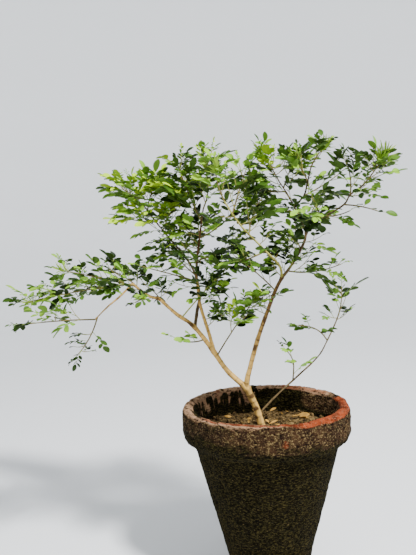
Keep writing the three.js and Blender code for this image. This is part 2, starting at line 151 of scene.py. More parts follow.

# Masses of foliage. Each one's stem is an arc that leaves its limb at a place counted in
# legs: its length, its first and last heading, its first and last climb, the length of its
# largest leaves, the mix of tints that its leaves are dealt (deep, green, fresh, young), its
# count of side twigs and the spacing of its leaves.
# The mixes paint light: shaded sprays take mostly the deep tint, painted shade, and sunlit and bright
# ones the fresh and young tints, painted sunlight.
SHADED = (5, 4, 1, 0)
MIXED = (3, 4, 3, 0)
SUNLIT = (1, 3, 5, 1)
BRIGHT = (0, 1, 5, 4)
SPRAYS = {
    "left_reach_spray": ("left_stem", 7, 201, (167, 177), (-6, -11), 66, MIXED, 6, 10),
    "left_high_spray": ("left_stem", 6.8, 140, (-154, -163), (17, 15), 54, MIXED, 2, 13),
    "elbow_spray": ("left_stem", 6.5, 80, (141, 155), (34, 20), 62, SHADED, 3, 11),
    "knuckle_sprig": ("left_stem", 6, 45, (-120, -117), (-9, -8), 52, SHADED, 0, 11),
    "rear_left_spray": ("left_stem", 5, 70, (100, 118), (10, 14), 58, SHADED, 2, 11),
    "left_low_spray": ("left_drop", 3, 126, (-170, -174), (2, -4), 56, MIXED, 1, 15),
    "left_hanging_spray": ("left_drop", 2.8, 85, (154, 171), (-67, -49), 40, SHADED, 0, 20),
    "midway_spray": ("centre_stem", 3.5, 110, (-151, -164), (19, 17), 50, SUNLIT, 0, 15),
    "upper_left_tip_spray": ("rear_stem", 7, 60, (175, 192), (44, 39), 66, BRIGHT, 4, 8),
    "upper_left_low_spray": ("rear_stem", 6.1, 70, (148, 169), (2, 14), 62, BRIGHT, 3, 9),
    "upper_left_top_spray": ("rear_stem", 6.8, 66, (-70, -30), (62, 50), 66, BRIGHT, 5, 8),
    "upper_left_bright_spray": ("rear_stem", 5.6, 105, (-47, -33), (55, 50), 68, BRIGHT, 8, 8),
    "rear_inner_spray": ("rear_stem", 4, 70, (120, 134), (20, 12), 60, MIXED, 1, 12),
    "centre_left_spray": ("centre_stem", 6.3, 112, (141, 149), (60, 70), 62, SUNLIT, 6, 9),
    "centre_top_spray": ("centre_stem", 7, 84, (-35, -134), (65, 80), 60, MIXED, 2, 12),
    "centre_mid_spray": ("centre_stem", 5.5, 80, (-31, -24), (23, 42), 58, SHADED, 0, 12),
    "centre_side_spray": ("centre_stem", 4.4, 85, (23, 24), (12, 22), 58, MIXED, 3, 11),
    "rear_centre_spray": ("centre_stem", 4.8, 95, (82, 100), (34, 44), 62, SHADED, 3, 11),
    "front_top_spray": ("inner_bough", 6, 58, (-150, -260), (67, 84), 52, SUNLIT, 2, 11),
    "front_right_spray": ("inner_bough", 5, 80, (54, 43), (61, 62), 60, MIXED, 5, 9),
    "front_mid_spray": ("inner_bough", 3.5, 70, (68, 36), (60, 51), 58, SHADED, 3, 11),
    "front_low_spray": ("inner_bough", 2, 66, (-130, -143), (-15, -8), 56, SHADED, 2, 11),
    "fork_spray": ("right_stem", 5, 92, (170, 176), (46, 38), 58, SHADED, 0, 13),
    "inner_right_spray": ("right_bough", 3.6, 80, (67, 44), (55, 47), 62, MIXED, 2, 12),
    "rear_right_spray": ("right_bough", 2.5, 95, (98, 78), (26, 42), 62, SHADED, 3, 11),
    "right_side_sprig": ("right_bough", 0.8, 105, (25, 12), (-9, 15), 46, MIXED, 2, 18),
    "top_spray": ("top_bough", 4, 65, (150, 168), (61, 55), 56, SUNLIT, 4, 10),
    "top_left_spray": ("top_bough", 3, 75, (145, 157), (-1, 20), 60, MIXED, 4, 10),
    "rear_top_spray": ("top_bough", 3.3, 80, (70, 52), (36, 50), 60, SHADED, 3, 10),
    "high_spray": ("high_bough", 3, 46, (-27, -2), (64, 42), 54, SUNLIT, 3, 10),
    "high_left_spray": ("high_bough", 2.1, 56, (114, 138), (50, 56), 56, MIXED, 4, 10),
    "high_right_spray": ("high_bough", 1, 88, (33, 25), (20, 30), 60, MIXED, 1, 13),
    "far_spray": ("far_bough", 5, 55, (-11, -10), (50, 56), 50, MIXED, 3, 9),
    "far_arm_spray": ("far_bough", 3, 62, (-21, -9), (-6, -20), 56, MIXED, 0, 12),
    "far_up_spray": ("far_bough", 4, 64, (67, 139), (71, 76), 58, SHADED, 2, 12),
    "far_under_spray": ("far_bough", 2, 60, (-57, -54), (1, 16), 44, MIXED, 0, 22),
    "front_far_spray": ("far_bough", 1.2, 92, (-88, -104), (14, 22), 60, MIXED, 2, 11),
    "shoot_tip_spray": ("low_shoot", 6, 55, (15, 71), (71, 86), 62, MIXED, 2, 11),
    "shoot_side_sprig": ("low_shoot", 4, 75, (-145, -156), (48, 8), 46, MIXED, 0, 20),
    "shoot_low_sprig": ("low_shoot", 1.7, 70, (-62, -158), (80, 50), 46, SUNLIT, 0, 16),
    "low_left_sprig": ("left_stem", 2.5, 60, (-148, -155), (-7, 24), 54, SUNLIT, 0, 18),
    "low_centre_spray": ("left_stem", 1.8, 140, (-36, -28), (54, 51), 62, SUNLIT, 4, 12),
    "green_shoot_spray": ("left_stem", 3.7, 130, (-32, -30), (45, 43), 58, MIXED, 4, 11),
    "rear_mid_spray": ("rear_stem", 5.1, 62, (-95, -125), (8, -6), 36, SUNLIT, 0, 18),
    "rear_low_spray": ("rear_stem", 3, 62, (165, 150), (40, 48), 58, SHADED, 2, 11),
    "inner_left_spray": ("top_bough", 1.6, 80, (168, 152), (4, 16), 60, SHADED, 4, 10),
}
TINTS = ("deep", "green", "fresh", "young")
ARC_LEGS = 4
SPRAY_RADIUS = (1.4, 0.8)
GREEN_STEMS = ("green_shoot_spray", "upper_left_bright_spray")

# Leaves: a compound leaf is a stalk with leaflets on alternate sides and one at its end.
FIRST_LEAF = 12
BARE_STEM = {
    "left_low_spray": 26, "midway_spray": 34, "right_side_sprig": 10, "far_arm_spray": 20,
    "low_left_sprig": 20, "low_centre_spray": 56, "green_shoot_spray": 50,
    "left_hanging_spray": 30,
}
LAST_LEAF = 6
LEAF_OPENING = 54
GOLDEN_ANGLE = 137.5
FLATTENING = 0.65
LIFT = 0.3
DROOP = 0.2
HANGING = -0.2
FIRST_LEAFLET = 0.34
LEAFLET_LENGTH = 0.43
LEAFLET_OPENING = 58
LEAFLET_NARROWING = 14
LEAFLET_GROWTH = (0.72, 0.34)
LEAFLET_TILT = 50
LEAFLET_NOD = 0.35
LEAF_TAPER = 0.4
SHORTEST_SHARE = 0.85
VARIETY = 0.3
LIMB_CLEARANCE = 2.5
SPACE_MARGIN = -8
TRIES = [(share, further) for share in (1, 0.75, 0.55) for further in (0, 90, 180, 270)]
TIP_LEAF = 0.4
SPRAY_SEGMENTS = 6
LIMB_SEGMENTS = 16

# What is added to a spray's or a limb's seed for each kind of draw, the first seeds of the
# twigs, and how many draws a leaf has
LEAFLET_COUNT_DRAWS = 50
LEAFLET_SIZE_DRAWS = 200
TINT_DRAWS = 400
TIP_DRAWS = 600
TWIG_LENGTH_DRAWS = 700
TWIG_TURN_DRAWS = 800
SCAR_DRAWS = 900
TWIG_SEEDS = 1000
SHORT_TWIG_SEEDS = 5000
DRAWS = 8

# Leaflets of a leaf: the fewest, and how many more there may be. One spray's are single.
LEAFLETS = (5, 3)
SINGLE = "far_arm_spray"
SINGLE_LEAFLET = 0.12
SINGLE_TIP = 1.25
STALK_RADIUS = (0.55, 0.3)
STALK_ROWS = 6

# Twigs on alternate sides of a spray's stem, and short ones of their own heading. The leaves
# of a twig have a first place and a spacing. A short twig has its limb or spray, place in
# legs, length, heading, climb, longest leaf and mix.
FIRST_TWIG = 12
LAST_TWIG = 14
TWIG_LENGTH = 34
TWIG_TAPER = 0.5
TWIG_VARIETY = (0.8, 0.5)
TWIG_OPENING = 48
TWIG_RISE = 0.35
TWIG_TURN = 60
TWIG_LEAF = 0.78
TWIG_RADIUS = (0.8, 0.5)
TWIG_LEAVES = (9, 11)
SHORT_TWIG_LEAVES = (7, 9)
SHORT_TWIG_BEND = 15
SHORT_TWIGS = [
    ("right_bough", 0.9, 30, -80, 20, 40, SHADED), ("right_bough", 1.5, 34, 20, 25, 42, SHADED),
    ("right_bough", 1.8, 34, -120, 5, 44, SHADED), ("right_bough", 2.2, 28, -150, 40, 40, MIXED),
    ("right_bough", 2.6, 34, 175, 0, 44, MIXED), ("right_bough", 3.0, 30, -20, 10, 40, SHADED),
    ("right_stem", 6.0, 34, 160, 50, 42, MIXED), ("right_stem", 4.4, 30, -100, 30, 44, SUNLIT),
    ("right_stem", 3.9, 34, 165, 25, 42, MIXED), ("right_stem", 4.2, 30, 150, 10, 40, MIXED),
    ("rear_stem", 6.2, 36, 40, 10, 46, SUNLIT), ("rear_stem", 4.4, 38, -150, 30, 46, MIXED),
    ("rear_stem", 4.9, 38, -60, 35, 46, MIXED), ("rear_stem", 5.2, 40, -40, 20, 48, SUNLIT),
    ("rear_stem", 5.5, 38, 170, 25, 46, SUNLIT), ("rear_stem", 5.8, 34, -30, 5, 48, SUNLIT),
    ("rear_stem", 6.5, 34, -120, 5, 46, BRIGHT), ("rear_low_spray", 2, 34, -30, 5, 46, MIXED),
    ("rear_inner_spray", 2, 30, -20, 0, 44, MIXED), ("centre_stem", 1.3, 36, 10, 40, 46, MIXED),
    ("centre_stem", 1.6, 40, -15, 15, 46, MIXED), ("centre_stem", 2.3, 36, -20, 25, 42, MIXED),
    ("centre_stem", 3.4, 40, -60, 10, 46, MIXED), ("centre_stem", 3.9, 36, -70, 35, 42, MIXED),
    ("centre_stem", 3.3, 36, 165, 0, 46, MIXED), ("centre_stem", 4.6, 38, -170, 35, 44, MIXED),
    ("centre_stem", 5.0, 36, 160, 15, 46, SUNLIT), ("centre_stem", 5.2, 36, 150, 40, 44, MIXED),
    ("centre_stem", 5.6, 36, -170, 20, 46, SUNLIT), ("centre_mid_spray", 3, 34, 10, 5, 42, SHADED),
    ("centre_left_spray", 3.6, 26, 20, 60, 42, MIXED), ("inner_bough", 1.4, 32, 60, 35, 42, SHADED),
    ("inner_bough", 2.6, 28, -20, 40, 38, SHADED), ("inner_bough", 3.6, 30, 30, 30, 42, MIXED),
    ("inner_left_spray", 3.2, 34, -150, -5, 42, SHADED), ("top_spray", 1.5, 28, 10, 30, 40, MIXED),
    ("top_bough", 3.6, 30, 160, 20, 42, MIXED), ("top_bough", 1.0, 30, -160, 30, 40, SHADED),
    ("inner_bough", 4.2, 30, 10, 20, 42, MIXED), ("inner_bough", 4.8, 28, 175, 0, 42, MIXED),
    ("high_bough", 0.4, 30, 175, 30, 40, MIXED), ("far_bough", 1.6, 26, -120, 40, 40, MIXED),
    ("far_bough", 3.9, 34, -20, 0, 42, MIXED), ("far_bough", 4.8, 26, 60, 20, 40, MIXED),
    ("far_spray", 1.2, 28, 30, 0, 42, MIXED), ("far_spray", 2, 26, -120, 20, 42, MIXED),
    ("far_spray", 3, 24, 170, 20, 40, MIXED), ("green_shoot_spray", 1.6, 34, -60, 0, 44, MIXED),
    ("green_shoot_spray", 2.4, 34, -20, -10, 44, SUNLIT),
    ("low_centre_spray", 2.2, 34, 165, 20, 42, MIXED),
    ("low_centre_spray", 3.2, 30, 10, 15, 42, SUNLIT),
    ("left_reach_spray", 1.5, 34, -80, -5, 46, MIXED),
    ("left_hanging_spray", 1.6, 20, 170, -10, 34, SHADED),
    ("left_hanging_spray", 2.8, 20, 150, -20, 34, SHADED),
    ("left_hanging_spray", 3.4, 16, -20, -10, 30, SHADED),
    ("left_low_spray", 2.2, 24, 100, 20, 40, MIXED), ("left_reach_spray", 0.8, 32, -110, 0, 44, MIXED),
    ("low_shoot", 5.6, 24, 20, 20, 40, MIXED), ("low_shoot", 5.8, 22, -160, 10, 36, MIXED),
    ("upper_left_tip_spray", 2.4, 36, 120, 60, 48, BRIGHT),
    ("upper_left_tip_spray", 3.4, 26, 170, 50, 44, BRIGHT),
    ("upper_left_tip_spray", 1, 30, -100, 5, 46, BRIGHT),
    ("upper_left_top_spray", 1.5, 30, 175, 5, 46, BRIGHT),
    ("upper_left_bright_spray", 1.2, 34, -100, -5, 48, BRIGHT),
    ("upper_left_bright_spray", 2, 34, -150, 0, 48, BRIGHT),
    ("inner_bough", 3.1, 28, -160, 0, 40, SHADED), ("right_bough", 0.5, 28, 100, 30, 42, SHADED),
    ("centre_left_spray", 3.8, 30, 60, 70, 44, SUNLIT), ("top_spray", 0.8, 32, -40, 30, 42, MIXED),
    ("centre_top_spray", 3.6, 30, 150, 60, 42, SUNLIT), ("far_bough", 4.6, 22, -60, 10, 42, MIXED),
    ("upper_left_bright_spray", 3.6, 30, 120, 70, 42, SUNLIT),
    ("low_centre_spray", 3.6, 26, 30, 10, 40, MIXED),
    ("centre_top_spray", 3.8, 34, -20, 60, 44, SUNLIT),
]

# Tufts of narrow young blades at some tips: how many and how long the longest one is. They
# leave the last stretch of the stem, opened wide at its start and narrow at its end.
TUFT_BLADES = {
    "top_spray": (50, 24), "front_top_spray": (54, 22), "high_spray": (42, 26),
    "high_left_spray": (34, 22), "centre_top_spray": (40, 24), "far_spray": (76, 34),
    "left_high_spray": (36, 20), "left_reach_spray": (30, 18),
    "upper_left_top_spray": (34, 20), "low_centre_spray": (34, 20),
}
TUFT_STRETCH = 14
TUFT_OPENING = (75, 15)
TUFT_STRAY = 12
TUFT_LIFT = 0.35
SHORTEST_BLADE = 0.45
BLADE_WIDTH = 0.11
BLADE_FOLD = 0.5


def radians(degrees):
    """An angle's degrees in radians."""
    return degrees * math.pi / 180


def unit(vectors):
    """Each vector over its length."""
    return vectors / np.maximum(np.linalg.norm(vectors, axis=-1, keepdims=True), 1e-12)


def direction(heading, climb):
    """Unit vector of a heading round +Z from +X and a climb above level."""
    turn, lift = radians(heading), radians(climb)
    return np.array([
        math.cos(lift) * math.cos(turn), math.cos(lift) * math.sin(turn), math.sin(lift),
    ])


def chance(seed, count):
    """A number from 0 to 1, the same for the same seed and count: 32-bit products and shifts."""
    keep = 0xFFFFFFFF
    mix = ((seed + 1) * 7919 + (count + 1) * 104729 + 1831565813) & keep
    mix = ((mix ^ (mix >> 15)) * (mix | 1)) & keep
    mix ^= (mix + ((mix ^ (mix >> 7)) * (mix | 61))) & keep
    return (mix ^ (mix >> 14)) / 2**32


def varied(draw):
    """The share of a usual length that a draw from 0 to 1 gives, evenly round 1."""
    return SHORTEST_SHARE + VARIETY * draw


def value_noise(points, seed=0):
    """Smooth noise from -1 to 1: each corner of a unit lattice has a hashed value, and a
    point takes the mean of its eight corners, weighted by 3t^2 - 2t^3 along each axis."""
    cell = np.floor(points).astype(np.int64)
    part = points - cell
    weight = part * part * (3 - 2 * part)
    total = np.zeros(points.shape[:-1])
    for corner in np.ndindex(2, 2, 2):
        spot = (cell + np.array(corner)).astype(np.uint32)
        mix = spot[..., 0] * np.uint32(73856093) ^ spot[..., 1] * np.uint32(19349663)
        mix ^= spot[..., 2] * np.uint32(83492791) ^ np.uint32(seed * 2654435761 % 2**32)
        mix = (mix ^ (mix >> np.uint32(15))) * np.uint32(2246822519)
        mix = (mix ^ (mix >> np.uint32(13))) * np.uint32(3266489917)
        mix ^= mix >> np.uint32(16)
        share = np.prod(np.where(corner, weight, 1 - weight), axis=-1)
        total += share * (mix / 2**31 - 1)
    return total


def rough(points, size, octaves, seed=0):
    """Fractal noise: value noise at a feature size and its halves, each half as strong."""
    total = np.zeros(points.shape[:-1])
    for octave in range(octaves):
        total += value_noise(points * (2**octave / size) + 17.3 * octave, seed + octave) / 2**octave
    return total


def smooth_step(low, high, values):
    """0 below low, 1 above high, and 3t^2 - 2t^3 between them."""
    part = np.clip((values - low) / (high - low), 0, 1)
    return part * part * (3 - 2 * part)


class Path:
    """A Catmull-Rom curve with one leg between neighbouring points, its ends carried on
    straight. On a leg, p = b + t(c-a)/2 + t^2(a - 5b/2 + 2c - d/2) + t^3(3b/2 - a/2 - 3c/2 + d/2)."""

    DIVISIONS = 200

    def __init__(self, points):
        points = np.asarray(points, float)
        self.legs = len(points) - 1
        self.points = np.vstack([
            2 * points[0] - points[1], points, 2 * points[-1] - points[-2],
        ])
        self.parts = np.linspace(0, 1, self.DIVISIONS + 1)
        steps = np.linalg.norm(np.diff(self.at(self.parts), axis=0), axis=1)
        self.lengths = np.concatenate([[0], np.cumsum(steps)])
        self.length = self.lengths[-1]

    def at(self, part):
        """Points at parts of the legs' count, from 0 to 1."""
        place = np.atleast_1d(part) * self.legs
        leg = np.clip(np.floor(place), 0, self.legs - 1).astype(int)
        t = (place - leg)[:, None]
        a, b, c, d = (self.points[leg + i] for i in range(4))
        return (
            b + t * (c - a) / 2 + t**2 * (a - 2.5 * b + 2 * c - d / 2)
            + t**3 * (1.5 * b - a / 2 - 1.5 * c + d / 2)
        )

    def spaced(self, share):
        """Points and unit tangents at shares of the length, from 0 to 1."""
        part = np.interp(np.atleast_1d(share) * self.length, self.lengths, self.parts)
        ahead = self.at(np.minimum(part + 1e-4, 1)) - self.at(np.maximum(part - 1e-4, 0))
        return self.at(part), unit(ahead)


@functools.cache
def limb_paths():
    """Each limb's centre line: its legs laid end to end from its place on its parent."""
    paths = {}
    for name, limb in LIMBS.items():
        if limb["on"]:
            parent = limb["on"]
            points = [paths[parent].at(limb["at"] / len(LIMBS[parent]["legs"]))[0]]
        else:
            points = [np.array([*TRUNK_PLACE, SOIL_CORNER.z / MM])]
        for length, heading, climb in limb["legs"]:
            points.append(points[-1] + length * direction(heading, climb))
        paths[name] = Path(points)
    return paths


@functools.cache
def spray_paths():
    """Each spray's stem: four equal legs whose heading and climb go evenly from first to last."""
    paths = {}
    for name, (limb, at, length, headings, climbs, *_) in SPRAYS.items():
        points = [limb_paths()[limb].at(at / len(LIMBS[limb]["legs"]))[0]]
        for part in np.linspace(0, 1, ARC_LEGS):
            heading = np.interp(part, (0, 1), headings)
            climb = np.interp(part, (0, 1), climbs)
            points.append(points[-1] + length / ARC_LEGS * direction(heading, climb))
        paths[name] = Path(points)
    return paths


@functools.cache
def spaces():
    """The stems' and limbs' straight segments: starts, ends and owners, for in_own_space."""
    starts, ends, owners = [], [], []
    steps = [(path, SPRAY_SEGMENTS, name) for name, path in spray_paths().items()]
    steps += [(path, LIMB_SEGMENTS, name) for name, path in limb_paths().items()]
    for path, count, name in steps:
        points = path.spaced(np.linspace(0, 1, count + 1))[0]
        starts.append(points[:-1])
        ends.append(points[1:])
        owners += [name] * count
    return np.vstack(starts), np.vstack(ends), np.array(owners)


def in_own_space(name, points):
    """True where every point is clear of the limbs, and nearer to its own spray's stem than to
    any other's by a margin. A limb's own twigs only keep clear of the limbs."""
    starts, ends, owners = spaces()
    along = ends - starts
    reach = points[:, None] - starts
    part = np.clip(np.sum(reach * along, axis=-1) / np.sum(along * along, axis=-1), 0, 1)
    gaps = np.linalg.norm(reach - part[..., None] * along, axis=-1)
    bounds = np.array([
        LIMBS[owner]["radius"][0] + LIMB_CLEARANCE if owner in LIMBS else -1 for owner in owners
    ])
    if np.any(gaps[:, bounds > 0] < bounds[bounds > 0]):
        return False
    if name in LIMBS:
        return True
    own = gaps[:, owners == name].min(axis=1)
    others = (owners != name) & (bounds < 0)
    return bool(np.all(gaps[:, others].min(axis=1) >= own + SPACE_MARGIN))


def way_off(forward, turn, opening, lift):
    """The unit direction of a leaf or twig: opened from the stem's forward direction, turned
    round it, flattened towards level, and lifted."""
    across = unit(np.cross(forward, UP))
    rise = np.cross(across, forward)
    out, round_ = radians(opening), radians(turn)
    return unit(
        math.cos(out) * forward + math.sin(out) * math.cos(round_) * across
        + FLATTENING * math.sin(out) * math.sin(round_) * rise + lift * UP
    )


def leaf_plan(base, way, length, seed, count, tint, leaflets):
    """A compound leaf. Its stalk runs along way and droops with the square of the way along.
    Leaflets open from it on alternate sides, each tilted about its own length, and the last
    one carries the stalk on. Returns the stalk's points and the leaflets' places and axes."""
    first, last = (FIRST_LEAFLET, 1) if leaflets > 1 else (SINGLE_LEAFLET, SINGLE_LEAFLET)
    shares = np.linspace(0, last, STALK_ROWS)[:, None]
    stalk = base + length * (way * shares - DROOP * UP * shares**2)
    v = np.linspace(first, last, leaflets)[:, None]
    places = base + length * (way * v - DROOP * UP * v**2)
    ahead = unit(way - 2 * DROOP * UP * v)
    side = unit(np.cross(ahead, UP))
    hand = np.where(np.arange(leaflets) % 2, -1, 1)[:, None]
    opening = np.radians(LEAFLET_OPENING - LEAFLET_NARROWING * v) * hand
    opening[-1] = 0
    draws = np.array([
        [chance(seed + shift, DRAWS * count + 1 + i) for shift in (0, LEAFLET_SIZE_DRAWS)]
        for i in range(leaflets)
    ])
    nod = LEAFLET_NOD * (2 * draws[:, 1:] - 1)
    x = unit(ahead * np.cos(opening) + side * np.sin(opening) + nod * UP)
    y = unit(np.cross(UP, x))
    tilt = np.radians(LEAFLET_TILT) * (2 * draws[:, :1] - 1)
    y = y * np.cos(tilt) + np.cross(x, y) * np.sin(tilt)
    growth = LEAFLET_GROWTH[0] + LEAFLET_GROWTH[1] * v[:, 0]
    sizes = length * LEAFLET_LENGTH * growth * varied(draws[:, 1])
    axes = np.stack([x, y, np.cross(x, y)], axis=1)
    return dict(stalk=stalk, places=places, axes=axes, sizes=sizes, tint=tint)


def leaf_reach(plan):
    """Test points of a leaf: a third out, both sides of the widest part, and each tip."""
    spots = np.array([[0.3, 0, 0], [0.6, 0.25, 0], [0.6, -0.25, 0], [1, 0, 0]])
    out = np.einsum("sk,lkj->lsj", spots, plan["axes"])
    return (plan["places"][:, None] + plan["sizes"][:, None, None] * out).reshape(-1, 3)


def dealt(mix, draw):
    """The tint that a draw from 0 to 1 falls on, in a mix of whole shares."""
    return int(np.searchsorted(np.cumsum(mix) / sum(mix), draw, side="right"))


def leaves_along(name, path, seed, largest, mix, first, spacing):
    """Leaves along a stem by the source's rule: each is turned by the golden angle from the
    last, and turned further or made shorter until it keeps to its space."""
    made = []
    count = 0
    fewest, more = (1, 0) if name == SINGLE else LEAFLETS
    while first + count * spacing < path.length - LAST_LEAF:
        leaflets = fewest + int(more * chance(seed + LEAFLET_COUNT_DRAWS, count))
        along = first + count * spacing
        base, forward = (found[0] for found in path.spaced(along / path.length))
        size = largest * (1 - LEAF_TAPER * along / path.length)
        size *= varied(chance(seed, DRAWS * count))
        turn = GOLDEN_ANGLE * count + 360 * chance(seed, 0)
        tint = dealt(mix, chance(seed + TINT_DRAWS, count))
        for share, further in TRIES:
            way = way_off(forward, turn + further, LEAF_OPENING, LIFT)
            if way[2] < min(forward[2], 0) + HANGING:
                continue
            plan = leaf_plan(base, way, size * share, seed, count, tint, leaflets)
            if in_own_space(name, leaf_reach(plan)):
                made.append(plan)
                break
        count += 1
    end, forward = (found[0] for found in path.spaced(1))
    way = unit(forward + LIFT * UP)
    tint = dealt(mix, chance(seed + TINT_DRAWS, count))
    tip = SINGLE_TIP if name == SINGLE else TIP_LEAF
    made.append(leaf_plan(end, way, largest * tip, seed + TIP_DRAWS, 0, tint, fewest))
    return made


def side_twigs(name, path, seed, twigs):
    """Short twigs on alternate sides of a spray's stem, half as long at the tip
    and bent upwards, left out where its end would leave the spray's space."""
    made = []
    first = max(FIRST_TWIG, BARE_STEM.get(name, 0))
    for count, along in enumerate(np.linspace(first, path.length - LAST_TWIG, twigs)):
        base, forward = (found[0] for found in path.spaced(along / path.length))
        length = TWIG_LENGTH * (1 - TWIG_TAPER * along / path.length)
        length *= TWIG_VARIETY[0] + TWIG_VARIETY[1] * chance(seed + TWIG_LENGTH_DRAWS, count)
        turn = 180 * count + 360 * chance(seed + TWIG_TURN_DRAWS, 0)
        for further in range(0, 360, TWIG_TURN):
            way = way_off(forward, turn + further, TWIG_OPENING, LIFT)
            if way[2] < min(forward[2], 0) + HANGING:
                continue
            middle = base + 0.5 * length * way
            end = middle + 0.5 * length * unit(way + TWIG_RISE * UP)
            if in_own_space(name, end[None]):
                made.append(Path([base, middle, end]))
                break
    return made


@functools.cache
def foliage():
    """Every spray's twigs, leaves and young tufts."""
    twigs, leaves, blades = [], [], []
    for seed, (name, row) in enumerate(SPRAYS.items()):
        path, (largest, mix, twig_count, spacing) = spray_paths()[name], row[5:]
        bare = BARE_STEM.get(name, FIRST_LEAF)
        leaves += leaves_along(name, path, seed, largest, mix, bare, spacing)
        for number, twig in enumerate(side_twigs(name, path, seed, twig_count)):
            twigs.append(twig)
            twig_seed = seed + TWIG_SEEDS * (number + 1)
            leaves += leaves_along(name, twig, twig_seed, largest * TWIG_LEAF, mix, *TWIG_LEAVES)
        if name in TUFT_BLADES:
            blades.append(tuft(path, seed, *TUFT_BLADES[name]))
    stems = {**limb_paths(), **spray_paths()}
    for number, (stem, at, length, heading, climb, largest, mix) in enumerate(SHORT_TWIGS):
        base = stems[stem].at(at / stems[stem].legs)[0]
        middle = base + 0.5 * length * direction(heading, climb)
        end = middle + 0.5 * length * direction(heading, climb + SHORT_TWIG_BEND)
        twig = Path([base, middle, end])
        twigs.append(twig)
        limb = stem if stem in LIMBS else SPRAYS[stem][0]
        twig_seed = SHORT_TWIG_SEEDS + number
        leaves += leaves_along(limb, twig, twig_seed, largest, mix, *SHORT_TWIG_LEAVES)
    return twigs, leaves, blades


def tuft(path, seed, count, longest):
    """Narrow young blades round a stem's end: each leaves one of the last places on the stem,
    turned by the golden angle and opened more the further back it stands."""
    rng = np.random.default_rng(seed)
    part = np.linspace(0, 1, count)
    places, forward = path.spaced(1 - TUFT_STRETCH * (1 - part) / path.length)
    across = unit(np.cross(forward, UP))
    rise = np.cross(across, forward)
    turn = np.radians(GOLDEN_ANGLE) * np.arange(count)[:, None]
    stray = rng.uniform(-TUFT_STRAY, TUFT_STRAY, count)
    opening = np.radians(np.interp(part, (0, 1), TUFT_OPENING) + stray)[:, None]
    x = unit(
        forward * np.cos(opening)
        + (across * np.cos(turn) + rise * np.sin(turn)) * np.sin(opening) + TUFT_LIFT * UP
    )
    y = unit(np.cross(forward + 0.01 * across, x))
    sizes = longest * (SHORTEST_BLADE + (1 - SHORTEST_BLADE) * rng.random(count))
    axes = np.stack([x, y, np.cross(x, y)], axis=1)
    return dict(places=places, axes=axes, sizes=sizes)


# Surfaces
def ring_faces(rows, sides):
    """Faces of a tube of rows of points: quads between rows, and a fan on each end's middle
    point. The two middle points come after the rows."""
    row, side = np.meshgrid(np.arange(rows - 1), np.arange(sides), indexing="ij")
    after = (side + 1) % sides
    quads = np.stack([
        row * sides + side, row * sides + after,
        (row + 1) * sides + after, (row + 1) * sides + side,
    ], axis=-1).reshape(-1, 4)
    ring = np.arange(sides)
    after = (ring + 1) % sides
    start, end = np.full(sides, rows * sides), np.full(sides, rows * sides + 1)
    last = (rows - 1) * sides
    fans = np.vstack([
        np.stack([after, ring, start], axis=-1),
        np.stack([last + ring, last + after, end], axis=-1),
    ])
    return quads, fans


def repeated(faces, count, step):
    """The same faces for each of count equal sets of points."""
    return (faces[None] + step * np.arange(count)[:, None, None]).reshape(-1, faces.shape[1])


def all_faces(points, rows, sides):
    """Many equal tubes of points as one set of points, with their faces."""
    quads, fans = ring_faces(rows, sides)
    count, step = points.shape[:2]
    return points.reshape(-1, 3), repeated(quads, count, step), repeated(fans, count, step)


def tubes(paths, radii, sides):
    """Round bars along many paths at once. A ring's point is the centre plus the radius times
    cos(a) of a first axis and sin(a) of a second one, both square to the path, the first
    square to a fixed direction as well. The ends are domed."""
    paths = np.asarray(paths, float)
    ahead = unit(np.gradient(paths, axis=1))
    whole = unit(paths[:, -1] - paths[:, 0])
    steep = np.abs(whole[:, 2:]) > 0.8
    helper = np.where(steep, np.array([1.0, 0, 0]), UP)[:, None]
    first = unit(np.cross(helper, ahead))
    second = np.cross(ahead, first)
    angle = np.linspace(0, 2 * math.pi, sides, endpoint=False)[:, None]
    spoke = np.cos(angle) * first[:, :, None] + np.sin(angle) * second[:, :, None]
    radii = np.broadcast_to(np.asarray(radii), (*paths.shape[:2], sides))
    rings = paths[:, :, None] + radii[..., None] * spoke
    dome = 0.5 * radii.mean(axis=-1)[..., None] * ahead
    poles = np.stack([paths[:, 0] - dome[:, 0], paths[:, -1] + dome[:, -1]], axis=1)
    points = np.concatenate([rings.reshape(len(paths), -1, 3), poles], axis=1)
    return points, spoke


LEAFLET_ROWS = np.array([0.05, 0.22, 0.42, 0.62, 0.8, 0.94])
LEAFLET_RING = np.array([1, 0.5, 0, -0.5, -1, 0])


def leaflet_form(width, fold=0.22, bend=0.14, thick=0.012):
    """A leaflet one unit long: half width u^0.8 (1-u)^0.68 scaled to its widest, halves
    folded up from the rib and rounded, the tip bent down by the square of the way out, and a
    rib below. Its ring is edge, half blade, rib, half blade, edge, underside."""
    u = LEAFLET_ROWS[:, None]
    spread = u**0.8 * (1 - u)**0.68
    half = 0.5 * width * spread / spread.max()
    across = LEAFLET_RING[None]
    y = half * across
    z = fold * np.abs(y) + 0.1 * half * (1 - (2 * np.abs(across) - 1)**2) - bend * u**2
    z[:, 5] -= thick + 0.08 * half[:, 0]
    x = np.broadcast_to(u, y.shape)
    rows = np.stack([x, y, z], axis=-1).reshape(-1, 3)
    return np.vstack([rows, [0, 0, -thick / 2], [1, 0, -bend]])


def placed(form, places, axes, sizes):
    """A form at many places: its x, y and z carried along each place's three axes, times size."""
    return places[:, None] + sizes[:, None, None] * np.einsum("vk,nkj->nvj", form, axes)


def leaflet_faces(count):
    """Faces of count leaflets, which of them are undersides, and their outline's points."""
    rows, sides = len(LEAFLET_ROWS), len(LEAFLET_RING)
    quads, fans = ring_faces(rows, sides)
    step = rows * sides + 2
    under_quads = np.tile(np.arange(len(quads)) % sides >= sides - 2, count)
    under_fans = np.tile(np.arange(len(fans)) % sides >= sides - 2, count)
    ring = np.arange(step - 2) % sides
    outline = np.tile(np.append(np.isin(ring, (0, 4)), [True, True]), count)
    under = np.concatenate([under_quads, under_fans])
    return repeated(quads, count, step), repeated(fans, count, step), under, outline


